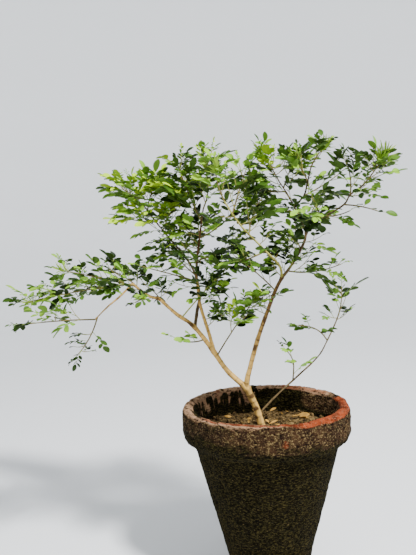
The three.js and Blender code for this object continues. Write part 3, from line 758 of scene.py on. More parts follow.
def new_piece(
    name, points, quads, fans, materials, slot, nodes=(), under=None, outline=None,
    attributes=None,
):
    """A mesh object in metres from points in millimetres, its faces smooth, riding on root.
    Under tells the faces that take the second material, and outline the points of its sharp
    edges."""
    mesh = bpy.data.meshes.new(name)
    mesh.vertices.add(len(points))
    mesh.vertices.foreach_set("co", (points * MM).astype(np.float32).ravel())
    corners = np.concatenate([quads.ravel(), fans.ravel()]).astype(np.int32)
    mesh.loops.add(len(corners))
    mesh.loops.foreach_set("vertex_index", corners)
    starts = np.concatenate([
        4 * np.arange(len(quads)), 4 * len(quads) + 3 * np.arange(len(fans)),
    ]).astype(np.int32)
    mesh.polygons.add(len(starts))
    mesh.polygons.foreach_set("loop_start", starts)
    mesh.update(calc_edges=True)
    if mesh.validate():
        raise RuntimeError(f"{name} has faces that had to be mended")
    mesh.shade_smooth()
    for material in materials:
        mesh.materials.append(material)
    if under is not None:
        mesh.polygons.foreach_set("material_index", under.astype(np.int32))
    if outline is not None:
        ends = np.zeros(2 * len(mesh.edges), np.int32)
        mesh.edges.foreach_get("vertices", ends)
        mesh.edges.foreach_set("use_edge_sharp", outline[ends].reshape(-1, 2).all(axis=1))
    for key, values in (attributes or {}).items():
        made = mesh.attributes.new(key, "FLOAT_VECTOR", "POINT")
        made.data.foreach_set("vector", values.astype(np.float32).ravel())
    piece = bpy.data.objects.new(name, mesh)
    bpy.context.scene.collection.objects.link(piece)
    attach(piece, "root")
    if nodes:
        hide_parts(*nodes)
    return piece


def new_leaves(name, form, leaves, materials, slot, nodes=()):
    """A piece of leaflets of one form, at the places, axes and sizes of many leaves. Their
    undersides take the second material, where there is one."""
    rows = (np.concatenate([leaf[key] for leaf in leaves]) for key in ("places", "axes", "sizes"))
    points = placed(form, *rows)
    quads, fans, under, outline = leaflet_faces(len(points))
    if len(materials) == 1:
        under = None
    new_piece(name, points.reshape(-1, 3), quads, fans, materials, slot, nodes, under, outline)


def new_wood(name, surface, bark, nodes=()):
    """A piece of wood from its points, faces, grain and shade."""
    points, quads, fans, grain, shade = surface
    new_piece(
        name, points, quads, fans, [bark], "bark", nodes,
        attributes={"grain": grain, "shade": shade},
    )


# Finishes
SRGB_STEP = 0.04045


def linear(hex_colour):
    """An sRGB hex colour as linear red, green, blue and a full alpha."""
    parts = [int(hex_colour[i:i + 2], 16) / 255 for i in (1, 3, 5)]
    return (*[p / 12.92 if p <= SRGB_STEP else ((p + 0.055) / 1.055)**2.4 for p in parts], 1.0)


def add(tree, kind, inputs=None, **settings):
    """Adds a node: settings are its properties, and inputs are values or sockets to link."""
    node = tree.nodes.new(kind)
    for key, value in settings.items():
        setattr(node, key, value)
    for key, value in (inputs or {}).items():
        if isinstance(value, bpy.types.NodeSocket):
            tree.links.new(value, node.inputs[key])
        else:
            node.inputs[key].default_value = value
    return node


def new_material(name, roughness, specular=0.5):
    """An empty material with one Principled shader, to be given its colour and relief."""
    material = bpy.data.materials.new(name)
    material.use_nodes = True
    tree = material.node_tree
    tree.nodes.clear()
    shader = add(tree, "ShaderNodeBsdfPrincipled", {
        "Roughness": roughness, "Specular IOR Level": specular,
    })
    add(tree, "ShaderNodeOutputMaterial", {"Surface": shader.outputs["BSDF"]})
    return material, tree, shader


def noise(tree, place, scale, detail, roughness):
    """A noise pattern's value, from 0 to 1: scale is its features per metre."""
    return add(tree, "ShaderNodeTexNoise", {
        "Vector": place, "Scale": scale, "Detail": detail, "Roughness": roughness,
    }).outputs["Fac"]


def between_values(tree, value, low, high):
    """0 below low, 1 above high, and even between them."""
    return add(tree, "ShaderNodeMapRange", {
        "Value": value, "From Min": low, "From Max": high,
    }).outputs["Result"]


def mixed(tree, part, first, second):
    """The colour a part of the way from first to second."""
    return add(tree, "ShaderNodeMix", {
        "Factor": part, "A": first, "B": second,
    }, data_type="RGBA").outputs["Result"]


def layered(tree, colour, *layers):
    """A colour with others over it. A layer has a pattern's value, where on it the layer
    begins and where it is full, and the layer's colour."""
    for value, begins, full, over in layers:
        colour = mixed(tree, between_values(tree, value, begins, full), colour, over)
    return colour


def dress(tree, shader, colour, relief):
    """Gives a shader its colour and the normal of its relief."""
    tree.links.new(colour, shader.inputs["Base Color"])
    tree.links.new(relief.outputs["Normal"], shader.inputs["Normal"])


def sum_of(tree, first, second):
    """The sum of two values."""
    return add(tree, "ShaderNodeMath", {0: first, 1: second}, operation="ADD").outputs["Value"]


def clay_finish(pot):
    """Fired earthenware, weathered out of doors: brown under grime and moss, the grime made near black
    partly as painted shade, with lime bloom and the fresh orange body where the lip is rubbed, partly
    a painted highlight on the lip's top edge. Pits and grains of 2 to 6 mm stand out, the pits painted
    dark with dirt and painted shade, and the grains of the film below the band lie flat."""
    material, tree, shader = new_material("weathered_earthenware", 0.95, 0.04)
    place = add(tree, "ShaderNodeTexCoord").outputs["Object"]
    flat = add(tree, "ShaderNodeVectorMath", {0: place, 1: (1, 1, 2.4)}, operation="MULTIPLY")
    wear_and_painted_light = add(tree, "ShaderNodeAttribute", attribute_name="wear_and_painted_light").outputs["Vector"]
    parts = add(tree, "ShaderNodeSeparateXYZ", {"Vector": wear_and_painted_light})
    cloud = noise(tree, place, 42, 5, 0.6)
    grain = noise(tree, place, 330, 4, 0.75)
    pits = noise(tree, flat.outputs["Vector"], 120, 4, 0.7)
    grit = noise(tree, flat.outputs["Vector"], 210, 4, 0.75)
    # The pits layers paint the low spots of the relief dark: dirt and painted shade.
    base = layered(
        tree, pot.brown, (cloud, 0.36, 0.64, pot.tan), (grain, 0.52, 0.68, pot.grit),
        (pits, 0.49, 0.38, pot.pits),
    )
    # Grime with painted shade: a near black film with olive moss and pale grains.
    grime_and_shade = layered(
        tree, pot.grime_and_shade, (grit, 0.48, 0.68, pot.moss), (grain, 0.64, 0.76, pot.grit),
    )
    burnt = layered(
        tree, pot.fresh, (cloud, 0.4, 0.62, pot.burnt), (grain, 0.56, 0.7, pot.lime),
        (pits, 0.43, 0.34, pot.pits),
    )
    lime = layered(tree, pot.lime, (pits, 0.5, 0.36, pot.pits))
    broken = add(tree, "ShaderNodeMix", {"Factor": 0.5, "A": cloud, "B": pits}).outputs["Result"]
    colour = base
    for part, layer in (("Z", grime_and_shade), ("Y", lime), ("X", burnt)):
        ragged = sum_of(tree, parts.outputs[part], broken)
        colour = mixed(tree, between_values(tree, ragged, 0.86, 1.08), colour, layer)
    relief = add(tree, "ShaderNodeBump", {
        "Height": sum_of(tree, pits, grit), "Strength": 1.0, "Distance": 0.005,
    })
    fine = add(tree, "ShaderNodeBump", {
        "Height": grain, "Strength": 0.8, "Distance": 0.0012, "Normal": relief.outputs["Normal"],
    })
    dress(tree, shader, colour, fine)
    return material


def earth_finish(name, dark, light, scale):
    """Potting earth: damp dark crumbs with paler dry ones, dull all over."""
    material, tree, shader = new_material(name, 0.95, 0.06)
    place = add(tree, "ShaderNodeTexCoord").outputs["Object"]
    crumb = noise(tree, place, scale, 5, 0.7)
    cloud = noise(tree, place, 0.2 * scale, 3, 0.6)
    mean = add(tree, "ShaderNodeMix", {"Factor": 0.4, "A": crumb, "B": cloud}).outputs["Result"]
    colour = mixed(tree, between_values(tree, mean, 0.44, 0.6), dark, light)
    relief = add(tree, "ShaderNodeBump", {"Height": crumb, "Strength": 0.9, "Distance": 0.002})
    dress(tree, shader, colour, relief)
    return material


def bark_finish(name, light, dark):
    """Smooth young bark: a pale skin with darker streaks along the stem, and darker where its shade is
    higher: painted shade below, and on the limbs also painted shade under the crown and darker scars
    and knots. Streaks are 2 mm wide and 12 mm long, read along the stem."""
    material, tree, shader = new_material(name, 0.8, 0.12)
    grain = add(tree, "ShaderNodeAttribute", attribute_name="grain").outputs["Vector"]
    shade = add(tree, "ShaderNodeAttribute", attribute_name="shade").outputs["Vector"]
    parts = add(tree, "ShaderNodeSeparateXYZ", {"Vector": shade})
    streak = noise(tree, grain, 350, 5, 0.65)
    total = sum_of(tree, parts.outputs["X"], streak)
    colour = mixed(tree, between_values(tree, total, 0.46, 0.92), light, dark)
    relief = add(tree, "ShaderNodeBump", {"Height": streak, "Strength": 0.8, "Distance": 0.001})
    dress(tree, shader, colour, relief)
    return material


def leaf_finish(name, colour, second, roughness):
    """A leaf's skin: waxy and even, its green drifting a little from leaf to leaf, on 25 mm."""
    material, tree, shader = new_material(name, roughness, 0.07)
    place = add(tree, "ShaderNodeTexCoord").outputs["Object"]
    drift = between_values(tree, noise(tree, place, 40, 2, 0.5), 0.35, 0.65)
    tree.links.new(mixed(tree, drift, colour, second), shader.inputs["Base Color"])
    return material


def plain_finish(name, colour, roughness):
    """A matt painted studio surface."""
    material, _, shader = new_material(name, roughness, 0.2)
    shader.inputs["Base Color"].default_value = colour
    return material


def between(first, second, part):
    """The colour a part of the way from first to second."""
    return tuple(a + part * (b - a) for a, b in zip(first, second))


# Pot and soil
POT_SIDES = 320
POT_WALL = 13
POT_FLOOR = 16
POT_FOOT_RADIUS = 70
POT_NECK = (130, 227)
BAND = (246, 286)
SHOULDER = (6, 8)
LIP = [(4, 2), (10, 0), (18, 2.5), (20, 9)]
FOOT_TOP = 4
ROUNDING = 4

# The pot's steps between rings: out of sight, on the band and lip, and on its body
POT_STEPS = (14, 1.8, 2.6)

# Noise patterns: feature size, octaves and seed
POT_LUMPS = (9, 3, 11)
POT_GRIT = (3.2, 2, 23)
POT_WAVES = (60, 2, 3)
LIP_CHIPS = (22, 3, 31)
WEAR_PATCHES = (26, 3, 51)
WALL_STREAKS = (7, 3, 57)
SOIL_ROLL = (38, 2, 61)
SOIL_CLODS = (9, 3, 67)

# How strong the relief is outside and inside, the parts of lumps and grit in it, and how
# high waves stand and how deep chips go
POT_RELIEF = (0.9, 0.5)
LUMP_PART = 0.55
GRIT_PART = 0.45
WAVE_HEIGHT = 0.9
CHIP_DEPTH = 2.2

# The sag under the band: its height, its reach up and down, and the size, shift and seed of
# its noise
SAG_HEIGHT = 2.2
SAG_REACH = 12
SAG_NOISE = (34, 5.1, 41)

# The soil's sides, its gaps to wall and floor, how much lower its edge lies, its steps below
# and on top, the mound round the trunk, and the heights of its roll and clods
SOIL_SIDES = 240
SOIL_GAP = 0.4
SOIL_FLOOR = POT_FLOOR + 0.3
SOIL_EDGE_DROP = 3
SOIL_STEPS = (16, 1.9)
MOUND_HEIGHT = 3.5
MOUND_REACH = 22
ROLL_HEIGHT = 2.2
CLOD_HEIGHT = 1.9
TOP_RISE = 3

# The pot's marks: what they are of, where they lie, how strong they are, and the heading
# and half width of the sector that they keep to.
# The rubbed lip's marks at the front are partly a painted highlight along the lip's top edge.
MARKS = [
    ("fresh", "rubbed and highlit lip", 0.56, -106, 56), ("fresh", "ragged lip", 0.8, -30, 58),
    ("fresh", "flaked crest", 0.46, 56, 44), ("fresh", "streaks", 0.4, 116, 30),
    ("lime", "rubbed and highlit lip", 0.9, -106, 56), ("lime", "crest", 0.7, 150, 62),
    ("lime", "crest", 0.62, 60, 46), ("lime", "crest", 0.2, -125, 40),
    ("lime", "upper band", 0.35, -125, 60), ("lime", "streaks", 0.72, 126, 50),
    ("lime", "inner lip", 0.46, 18, 44),
]
DRY_WALL = (18, 44)
# The shaded side of the band, which takes painted shade as more grime: heading and half width.
SHADED_SIDE = (-170, 80)
SPOT = (-83, 6, 262, 17)


def rounded(corners, radius):
    """A line through corners, each one rounded: from a radius before it to a radius after it,
    the point is (1-t)^2 of the first, 2t(1-t) of the corner and t^2 of the last."""
    corners = np.asarray(corners, float)
    t = np.linspace(0, 1, 7)[:, None]
    line = [corners[:1]]
    for before, corner, after in zip(corners, corners[1:], corners[2:]):
        back, on = before - corner, after - corner
        first = corner + back * min(0.5, radius / np.linalg.norm(back))
        last = corner + on * min(0.5, radius / np.linalg.norm(on))
        line.append((1 - t)**2 * first + 2 * t * (1 - t) * corner + t**2 * last)
    return np.vstack([*line, corners[-1:]])


def respaced(line, step_at):
    """The line's points laid out again, their steps given by a function of the point."""
    steps = np.linalg.norm(np.diff(line, axis=0), axis=1)
    lengths = np.concatenate([[0], np.cumsum(steps)])
    middles = (line[1:] + line[:-1]) / 2
    counts = np.concatenate([[0], np.cumsum(steps / step_at(middles))])
    even = np.interp(np.linspace(0, counts[-1], int(counts[-1]) + 2), counts, lengths)
    return np.stack([np.interp(even, lengths, line[:, k]) for k in (0, 1)], axis=1)


def lathe_points(profile, sides):
    """A profile carried round +Z: radius times cos(a) and sin(a), and its height."""
    angle = np.linspace(-math.pi, math.pi, sides, endpoint=False)
    radius, height = profile[1:-1, 0][:, None], profile[1:-1, 1][:, None]
    rings = np.stack([
        radius * np.cos(angle), radius * np.sin(angle), np.broadcast_to(height, (len(radius), sides)),
    ], axis=-1)
    slope = unit(np.gradient(profile, axis=0))[1:-1]
    outward = np.stack([
        slope[:, 1:] * np.cos(angle), slope[:, 1:] * np.sin(angle),
        np.broadcast_to(-slope[:, :1], (len(radius), sides)),
    ], axis=-1)
    poles = np.array([[0, 0, profile[0, 1]], [0, 0, profile[-1, 1]]])
    return rings, outward, poles


def sector(angle, centre, half):
    """1 at a heading, easing to 0 at half degrees to each side of it."""
    gap = np.abs((np.degrees(angle) - centre + 180) % 360 - 180)
    return 1 - smooth_step(0.55 * half, half, gap)


def inner_radius(height):
    """The pot's inner radius at a height: the taper, one wall thickness in."""
    return POT_FOOT_RADIUS - POT_WALL + (POT_NECK[0] - POT_FOOT_RADIUS) / POT_NECK[1] * height


def pot_profile(pot):
    """The pot's outline, from the middle of its foot over the lip to the middle of its floor."""
    rim, top, soil = pot.rim_radius / MM, pot.height / MM, SOIL_CORNER.z / MM
    line = rounded([
        (0, 0), (POT_FOOT_RADIUS, 0), POT_NECK, (rim - SHOULDER[0], POT_NECK[1] + SHOULDER[1]),
        (rim, BAND[0]), (rim, BAND[1]), *((rim - inward, top - down) for inward, down in LIP),
        (inner_radius(soil), soil), (inner_radius(POT_FLOOR), POT_FLOOR), (0, POT_FLOOR),
    ], ROUNDING)
    inside = np.arange(len(line)) > np.argmax(line[:, 1])

    def step_at(points):
        """Fine where it shows: on the outside, over the lip and down to the soil."""
        unseen, finest, fine = POT_STEPS
        hidden = (points[:, 1] < 2) | ((points[:, 1] < soil - 6) & inside[:-1])
        return np.where(hidden, unseen, np.where(points[:, 1] > BAND[0] - 20, finest, fine))

    return respaced(line, step_at)


def pot_wear_and_painted_light(pot, rings, height, within, outside, crest, lumps):
    """Fresh clay, lime and grime at the pot's points. Each mark adds its strength times its place's
    share and its sector's; on the rubbed lip's top edge fresh clay and lime are partly a painted
    highlight. Grime, near black and partly painted shade, is full on the body and the inner wall,
    thinner on the band, more so near its top and in its hollows, and taken off by lime and dry wall.
    On the band, painted shade makes it thicker on the shaded side and low down, by the band's lower
    edge."""
    top, soil = pot.height / MM, SOIL_CORNER.z / MM
    angle = np.arctan2(rings[..., 1], rings[..., 0])
    patch = rough(rings, *WEAR_PATCHES)
    streaks = smooth_step(-0.2, 0.4, rough(rings * [1, 1, 0.1], *WALL_STREAKS))
    band = smooth_step(BAND[0] - 8, BAND[0] - 1, height) * outside
    inner_lip = smooth_step(soil - 4, soil + 20, height) * within
    places = {
        # The lip's top edge: rubbed wear and a painted highlight.
        "rubbed and highlit lip": np.exp(-((height - top + 1.2) / 1.9)**2) * ~within,
        "ragged lip": smooth_step(BAND[1] - 4 + 3 * patch, top - 5, height),
        "crest": crest,
        "flaked crest": crest * (patch > -0.2),
        "upper band": band * smooth_step(BAND[0] + 12, BAND[1], height),
        "inner lip": inner_lip,
        "streaks": inner_lip * streaks,
    }
    heading, half, level, rise = SPOT
    out = ((np.degrees(angle) - heading) / half)**2 + ((height - level) / rise)**2
    wear_and_painted_light = {"fresh": (0.36 + 0.3 * patch) * np.exp(-out) * outside, "lime": 0}
    for kind, place, strength, heading, half in MARKS:
        wear_and_painted_light[kind] = wear_and_painted_light[kind] + strength * places[place] * sector(angle, heading, half)
    # Painted shade on the band: more grime low down, by its lower edge, and on the shaded side.
    low = smooth_step(BAND[0] + 26, BAND[0] - 6, height)
    shaded_side, dry_wall = sector(angle, *SHADED_SIDE), inner_lip * sector(angle, *DRY_WALL)
    grime_and_shade = np.where(outside, 1 - 0.85 * band, 0)
    grime_and_shade = grime_and_shade + band * (0.22 * shaded_side + 0.34 * low + 0.2 * lumps)
    grime_and_shade = grime_and_shade + np.where(within, 0.95 - 0.6 * wear_and_painted_light["lime"] - 0.85 * dry_wall, 0)
    return np.stack([wear_and_painted_light["fresh"], 0.75 * wear_and_painted_light["lime"], np.clip(grime_and_shade, 0, 1)], axis=-1)


def pot_surface(pot):
    """The pot's rings of points, moved by wide waves, lumps, grit, chips of the lip and a sag
    under the band, with their wear."""
    profile = pot_profile(pot)
    rings, outward, poles = lathe_points(profile, POT_SIDES)
    top, soil = pot.height / MM, SOIL_CORNER.z / MM
    height = profile[1:-1, 1][:, None]
    within = (np.arange(len(height)) > np.argmax(height[:, 0]))[:, None]
    outside = ~within & (height > FOOT_TOP)
    crest = smooth_step(BAND[1] - 2, top - 4, height)
    lumps = rough(rings, *POT_LUMPS)
    grit = rough(rings, *POT_GRIT)
    depth = np.where(outside, *POT_RELIEF) * pot.relief / MM
    moved = depth * (LUMP_PART * lumps + GRIT_PART * grit)
    moved = moved + WAVE_HEIGHT * rough(rings, *POT_WAVES)
    chips = smooth_step(0.25, 0.8, rough(rings, *LIP_CHIPS)) * crest * CHIP_DEPTH
    moved = np.where(height < FOOT_TOP, 0, moved - chips)
    moved = np.where(within & (height < soil), np.minimum(moved, 0) * 0.2, moved)
    under_band = np.exp(-((height - POT_NECK[1] - SHOULDER[1]) / SAG_REACH)**2)
    size, shift, seed = SAG_NOISE
    sag = SAG_HEIGHT * value_noise(rings / size + shift, seed) * under_band
    points = rings + moved[..., None] * outward
    points[..., 2] += np.where(outside, sag, 0)
    return points, poles, pot_wear_and_painted_light(pot, rings, height, within, outside, crest, lumps)


def soil_surface():
    """The soil's rings: a closed body whose top rises round the trunk and rolls in clods."""
    top = SOIL_CORNER.z / MM
    edge = inner_radius(top - SOIL_EDGE_DROP) - SOIL_GAP
    line = rounded([
        (0, SOIL_FLOOR), (inner_radius(POT_FLOOR) - SOIL_GAP, SOIL_FLOOR),
        (edge, top - SOIL_EDGE_DROP), (edge - 12, top - 1), (0, top),
    ], 2)

    def step_at(points):
        """Fine on top, where it shows."""
        return np.where(points[:, 1] < top - 5, *SOIL_STEPS)

    profile = respaced(line, step_at)
    rings, _, poles = lathe_points(profile, SOIL_SIDES)
    free = smooth_step(top - 4, top - 2, profile[1:-1, 1][:, None])
    from_trunk = np.hypot(rings[..., 0] - TRUNK_PLACE[0], rings[..., 1] - TRUNK_PLACE[1])
    mound = MOUND_HEIGHT * np.exp(-(from_trunk / MOUND_REACH)**2)
    roll = ROLL_HEIGHT * rough(rings, *SOIL_ROLL) + CLOD_HEIGHT * rough(rings, *SOIL_CLODS)
    rings[..., 2] += free * (mound + roll)
    poles[1, 2] += TOP_RISE
    return rings, poles


def scattered(rng, count, reach):
    """Places spread evenly over a disc of that reach."""
    radius = reach * np.sqrt(rng.random(count))
    angle = rng.uniform(0, 2 * math.pi, count)
    return np.stack([radius * np.cos(angle), radius * np.sin(angle)], axis=-1)


# A crumb's rings and their sides, the smallest one's radius and how much larger others are,
# how far they keep from the pot's wall, and how high they lie at random
LUMP_RISES = (-50, 0, 50)
LUMP_SIDES = 6
SMALLEST_CRUMB = 0.9
CRUMB_GROWTH = 2.4
CRUMB_EDGE = 5
CRUMB_STRAY = 1.2


def lump_form():
    """A lump of three rings of six points and two ends, on a ball of radius 1."""
    rise = np.radians(LUMP_RISES)[:, None]
    angle = np.linspace(0, 2 * math.pi, LUMP_SIDES, endpoint=False)[None]
    rings = np.stack([
        np.cos(rise) * np.cos(angle), np.cos(rise) * np.sin(angle),
        np.sin(rise) * np.ones_like(angle),
    ], axis=-1)
    return np.vstack([rings.reshape(-1, 3), [0, 0, -1], [0, 0, 1]])


def random_axes(rng, count):
    """Three axes square to each other at each place, turned at random."""
    x = unit(rng.normal(size=(count, 3)))
    y = unit(np.cross(x, rng.normal(size=(count, 3))))
    return np.stack([x, y, np.cross(x, y)], axis=1)


# Sizes and colours that a user would change
def length_prop(name, description, default, low, high):
    """A length in metres that a user can set."""
    return FloatProperty(
        name=name, description=description, default=default, min=low, max=high,
        subtype="DISTANCE", unit="LENGTH",
    )


def colour_prop(name, description, hex_colour):
    """A colour that a user can set."""
    return FloatVectorProperty(
        name=name, description=description, default=linear(hex_colour), size=4, min=0, max=1,
        subtype="COLOR",
    )


class ShrubPotSettings(bpy.types.PropertyGroup):
    rim_radius: length_prop("Rim radius", "Outer radius of the band", POT_CORNER.x, 0.1, 0.2)
    height: length_prop("Height", "From the floor to the lip's crest", POT_CORNER.z, 0.2, 0.4)
    relief: length_prop("Relief", "How far grit and lumps stand out", 0.0016, 0, 0.003)
    brown: colour_prop("Brown", "Dirty brown of the weathered band", "#281a12")
    tan: colour_prop("Tan", "Paler dry parts of the band", "#432f1f")
    grit: colour_prop("Grit", "Grains that stand out of the clay", "#a0895a")
    # The pits colour is dirt and painted shade in the low spots of the relief.
    pits: colour_prop("Pits", "Dark dirt in the pits", "#0c0805")
    # Fresh clay and lime also paint a highlight on the lip's top edge at the front.
    fresh: colour_prop("Fresh clay", "Orange body where the lip is rubbed", "#a04826")
    burnt: colour_prop("Burnt clay", "Darker fired patches of the rubbed and highlit lip", "#5c2a18")
    lime: colour_prop("Lime bloom", "Pinkish beige bloom on the lip", "#ac8868")
    # The grime colour is near black partly as painted shade on the body, the band and the inner wall.
    grime_and_shade: colour_prop("Grime and shade", "Near black film below the band", "#050401")
    moss: colour_prop("Moss", "Olive grains on the grime", "#4c4423")


class ShrubSoilSettings(bpy.types.PropertyGroup):
    crumbs: IntProperty(
        name="Crumbs", description="Loose crumbs that lie on the soil", default=620, min=0, max=2000,
    )
    damp: colour_prop("Damp soil", "Dark damp earth", "#1c140a")
    dry: colour_prop("Dry soil", "Paler dry earth", "#806842")
    litter: colour_prop("Litter", "Dry fallen leaves", "#b98d45")


class ShrubWoodSettings(bpy.types.PropertyGroup):
    relief: length_prop("Relief", "Depth of the bark's ridges", 0.00035, 0, 0.002)
    old_light: colour_prop("Old wood", "Pale tan skin of the stems", "#c7a056")
    # Each wood's darker colour also paints the shade on its underside.
    old_dark: colour_prop("Old wood streaks", "Brown streaks and undersides", "#4e381f")
    dark_light: colour_prop("Bough", "Brown skin of the upper boughs", "#604f33")
    dark_dark: colour_prop("Bough streaks", "Dark streaks of the upper boughs", "#21180d")
    green_light: colour_prop("Young wood", "Yellow-green skin of young boughs", "#a5a24c")
    green_dark: colour_prop("Young wood streaks", "Brown streaks of young boughs", "#63572c")


class ShrubLeafSettings(bpy.types.PropertyGroup):
    width: FloatProperty(
        name="Leaflet width", description="Width of a leaflet over its length", default=0.56,
        min=0.2, max=0.9, subtype="FACTOR",
    )
    # Deep green is painted shade, fresh green painted sunlight, and young green partly new growth and
    # partly painted sunlight.
    deep: colour_prop("Deep green", "Shaded glossy leaves", "#111d05")
    green: colour_prop("Green", "Mature leaves", "#2c4612")
    fresh: colour_prop("Sunlit green", "Sunlit leaves", "#6d982e")
    young: colour_prop("Young green", "New yellow-green leaves", "#a9cc1e")
    under: colour_prop("Underside", "Paler dull underside", "#4c6626")
    stalk: colour_prop("Stalks", "Green leaf stalks", "#7d9440")
    tuft: colour_prop("Tufts", "Young blades at the tips", "#94ae3e")


class ShrubStageSettings(bpy.types.PropertyGroup):
    floor: colour_prop("Floor", "Pale studio floor", "#e6e8ea")
    key: FloatProperty(
        name="Key light", description="Power of the soft light from the upper right", default=290,
        min=0, max=1000, unit="POWER",
    )
    fill: FloatProperty(
        name="Fill light", description="Power of the wide light from the left", default=16,
        min=0, max=1000, unit="POWER",
    )
    sky: FloatProperty(
        name="Sky", description="Strength of the even light from above", default=0.54, min=0, max=5,
    )


class SHRUB_OT_pot(bpy.types.Operator):
    """Make the weathered clay pot"""

    bl_idname = "shrub.pot"
    bl_label = "Clay pot"

    def execute(self, context):
        pot = context.scene.shrub_pot
        points, poles, wear_and_painted_light = pot_surface(pot)
        quads, fans = ring_faces(*points.shape[:2])
        all_points = np.vstack([points.reshape(-1, 3), poles])
        all_wear_and_painted_light = np.vstack([wear_and_painted_light.reshape(-1, 3), [[0, 0, 1], [0, 0, 1]]])
        new_piece(
            "clay_pot", all_points, quads, fans, [clay_finish(pot)], "clay", ["pot"],
            attributes={"wear_and_painted_light": all_wear_and_painted_light},
        )
        return {"FINISHED"}


class SHRUB_OT_soil(bpy.types.Operator):
    """Make the soil with its crumbs and dry litter"""

    bl_idname = "shrub.soil"
    bl_label = "Soil and litter"

    def execute(self, context):
        settings = context.scene.shrub_soil
        points, poles = soil_surface()
        quads, fans = ring_faces(*points.shape[:2])
        earth = earth_finish("potting_earth", settings.damp, settings.dry, 260)
        new_piece(
            "potting_soil", np.vstack([points.reshape(-1, 3), poles]), quads, fans, [earth],
            "soil", ["soil"],
        )
        rng = np.random.default_rng(5)
        top = SOIL_CORNER.z / MM
        spots = scattered(rng, settings.crumbs, inner_radius(top) - CRUMB_EDGE)
        sizes = SMALLEST_CRUMB + CRUMB_GROWTH * rng.random(len(spots))**2
        places = np.column_stack([spots, np.full(len(spots), top) + 0.6 * sizes])
        places[:, 2] += CRUMB_STRAY * rng.random(len(spots))
        crumbs = placed(lump_form(), places, random_axes(rng, len(spots)), sizes)
        new_piece(
            "soil_crumbs", *all_faces(crumbs, len(LUMP_RISES), LUMP_SIDES),
            [earth_finish("dry_crumbs", settings.damp, settings.dry, 500)], "soil",
        )
        return {"FINISHED"}


# Fallen leaves: the places of those that show best, how many more lie how far out, how high,
# their slope and their shortest and longest. The first one is longer and has its own turn.
SEEN_LEAVES = [(61, 55), (37, 79), (-43, 24), (-30, 18), (-56, 40)]
MORE_LEAVES = 26
LITTER_REACH = 105
LITTER_HEIGHT = 3.5
LITTER_SLOPE = (-0.25, 0.2)
LITTER_LENGTH = (9, 19)
FIRST_FALLEN_TURN = 0.15
FIRST_FALLEN_LENGTH = 24


class SHRUB_OT_litter(bpy.types.Operator):
    """Make the dry fallen leaves on the soil"""

    bl_idname = "shrub.litter"
    bl_label = "Fallen leaves"

    def execute(self, context):
        settings = context.scene.shrub_soil
        rng = np.random.default_rng(9)
        top = SOIL_CORNER.z / MM
        spots = np.vstack([SEEN_LEAVES, scattered(rng, MORE_LEAVES, LITTER_REACH)])
        count = len(spots)
        places = np.column_stack([spots, np.full(count, top + LITTER_HEIGHT)])
        turn = rng.uniform(0, 2 * math.pi, count)
        turn[0] = FIRST_FALLEN_TURN
        tip = rng.uniform(*LITTER_SLOPE, count)
        x = unit(np.column_stack([np.cos(turn), np.sin(turn), tip]))
        y = unit(np.cross(UP, x) + 0.5 * rng.normal(size=(count, 1)) * UP)
        y = unit(y - np.sum(x * y, axis=1, keepdims=True) * x)
        axes = np.stack([x, y, np.cross(x, y)], axis=1)
        sizes = rng.uniform(*LITTER_LENGTH, count)
        sizes[0] = FIRST_FALLEN_LENGTH
        darker = between(settings.litter, settings.damp, 0.6)
        dry = leaf_finish("dry_leaf", settings.litter, darker, 0.8)
        curled = leaflet_form(0.42, 0.5, -0.2)
        fallen = dict(places=places, axes=axes, sizes=sizes)
        new_leaves("fallen_leaves", curled, [fallen], [dry], "soil")
        return {"FINISHED"}


def limb_radius(name, share):
    """A limb's radius along it: even from first to last, flared at the soil, with a collar
    where it leaves its parent and a knuckle where a limb leaves it."""
    limb, path = LIMBS[name], limb_paths()[name]
    along, thick = share * path.length, limb["radius"][0]
    radius = BARK_SHARE * np.interp(share, (0, 1), limb["radius"])
    if limb["on"] is None:
        radius += BARK_SHARE * TRUNK_FLARE * np.exp(-FLARE_FALL * share)
    else:
        radius += COLLAR[0] * thick * np.exp(-along / (COLLAR[1] * thick))
    for other in LIMBS.values():
        if other["on"] == name:
            fork = np.interp(other["at"] / path.legs, path.parts, path.lengths)
            height, reach = (part * other["radius"][0] for part in KNUCKLE)
            radius += height * np.exp(-((along - fork) / reach)**2)
    return radius


def leaf_scars(seed, along, length):
    """Low rings round a limb, one at each old leaf's place: a bump of height 1."""
    scars = np.zeros(len(along))
    for number in range(int(length / SCAR_SPACING)):
        stray = SCAR_STRAY * chance(seed + SCAR_DRAWS, number)
        place = SCAR_SPACING * number + FIRST_SCAR + stray
        scars += np.exp(-((along - place) / SCAR_HALF)**2)
    return scars


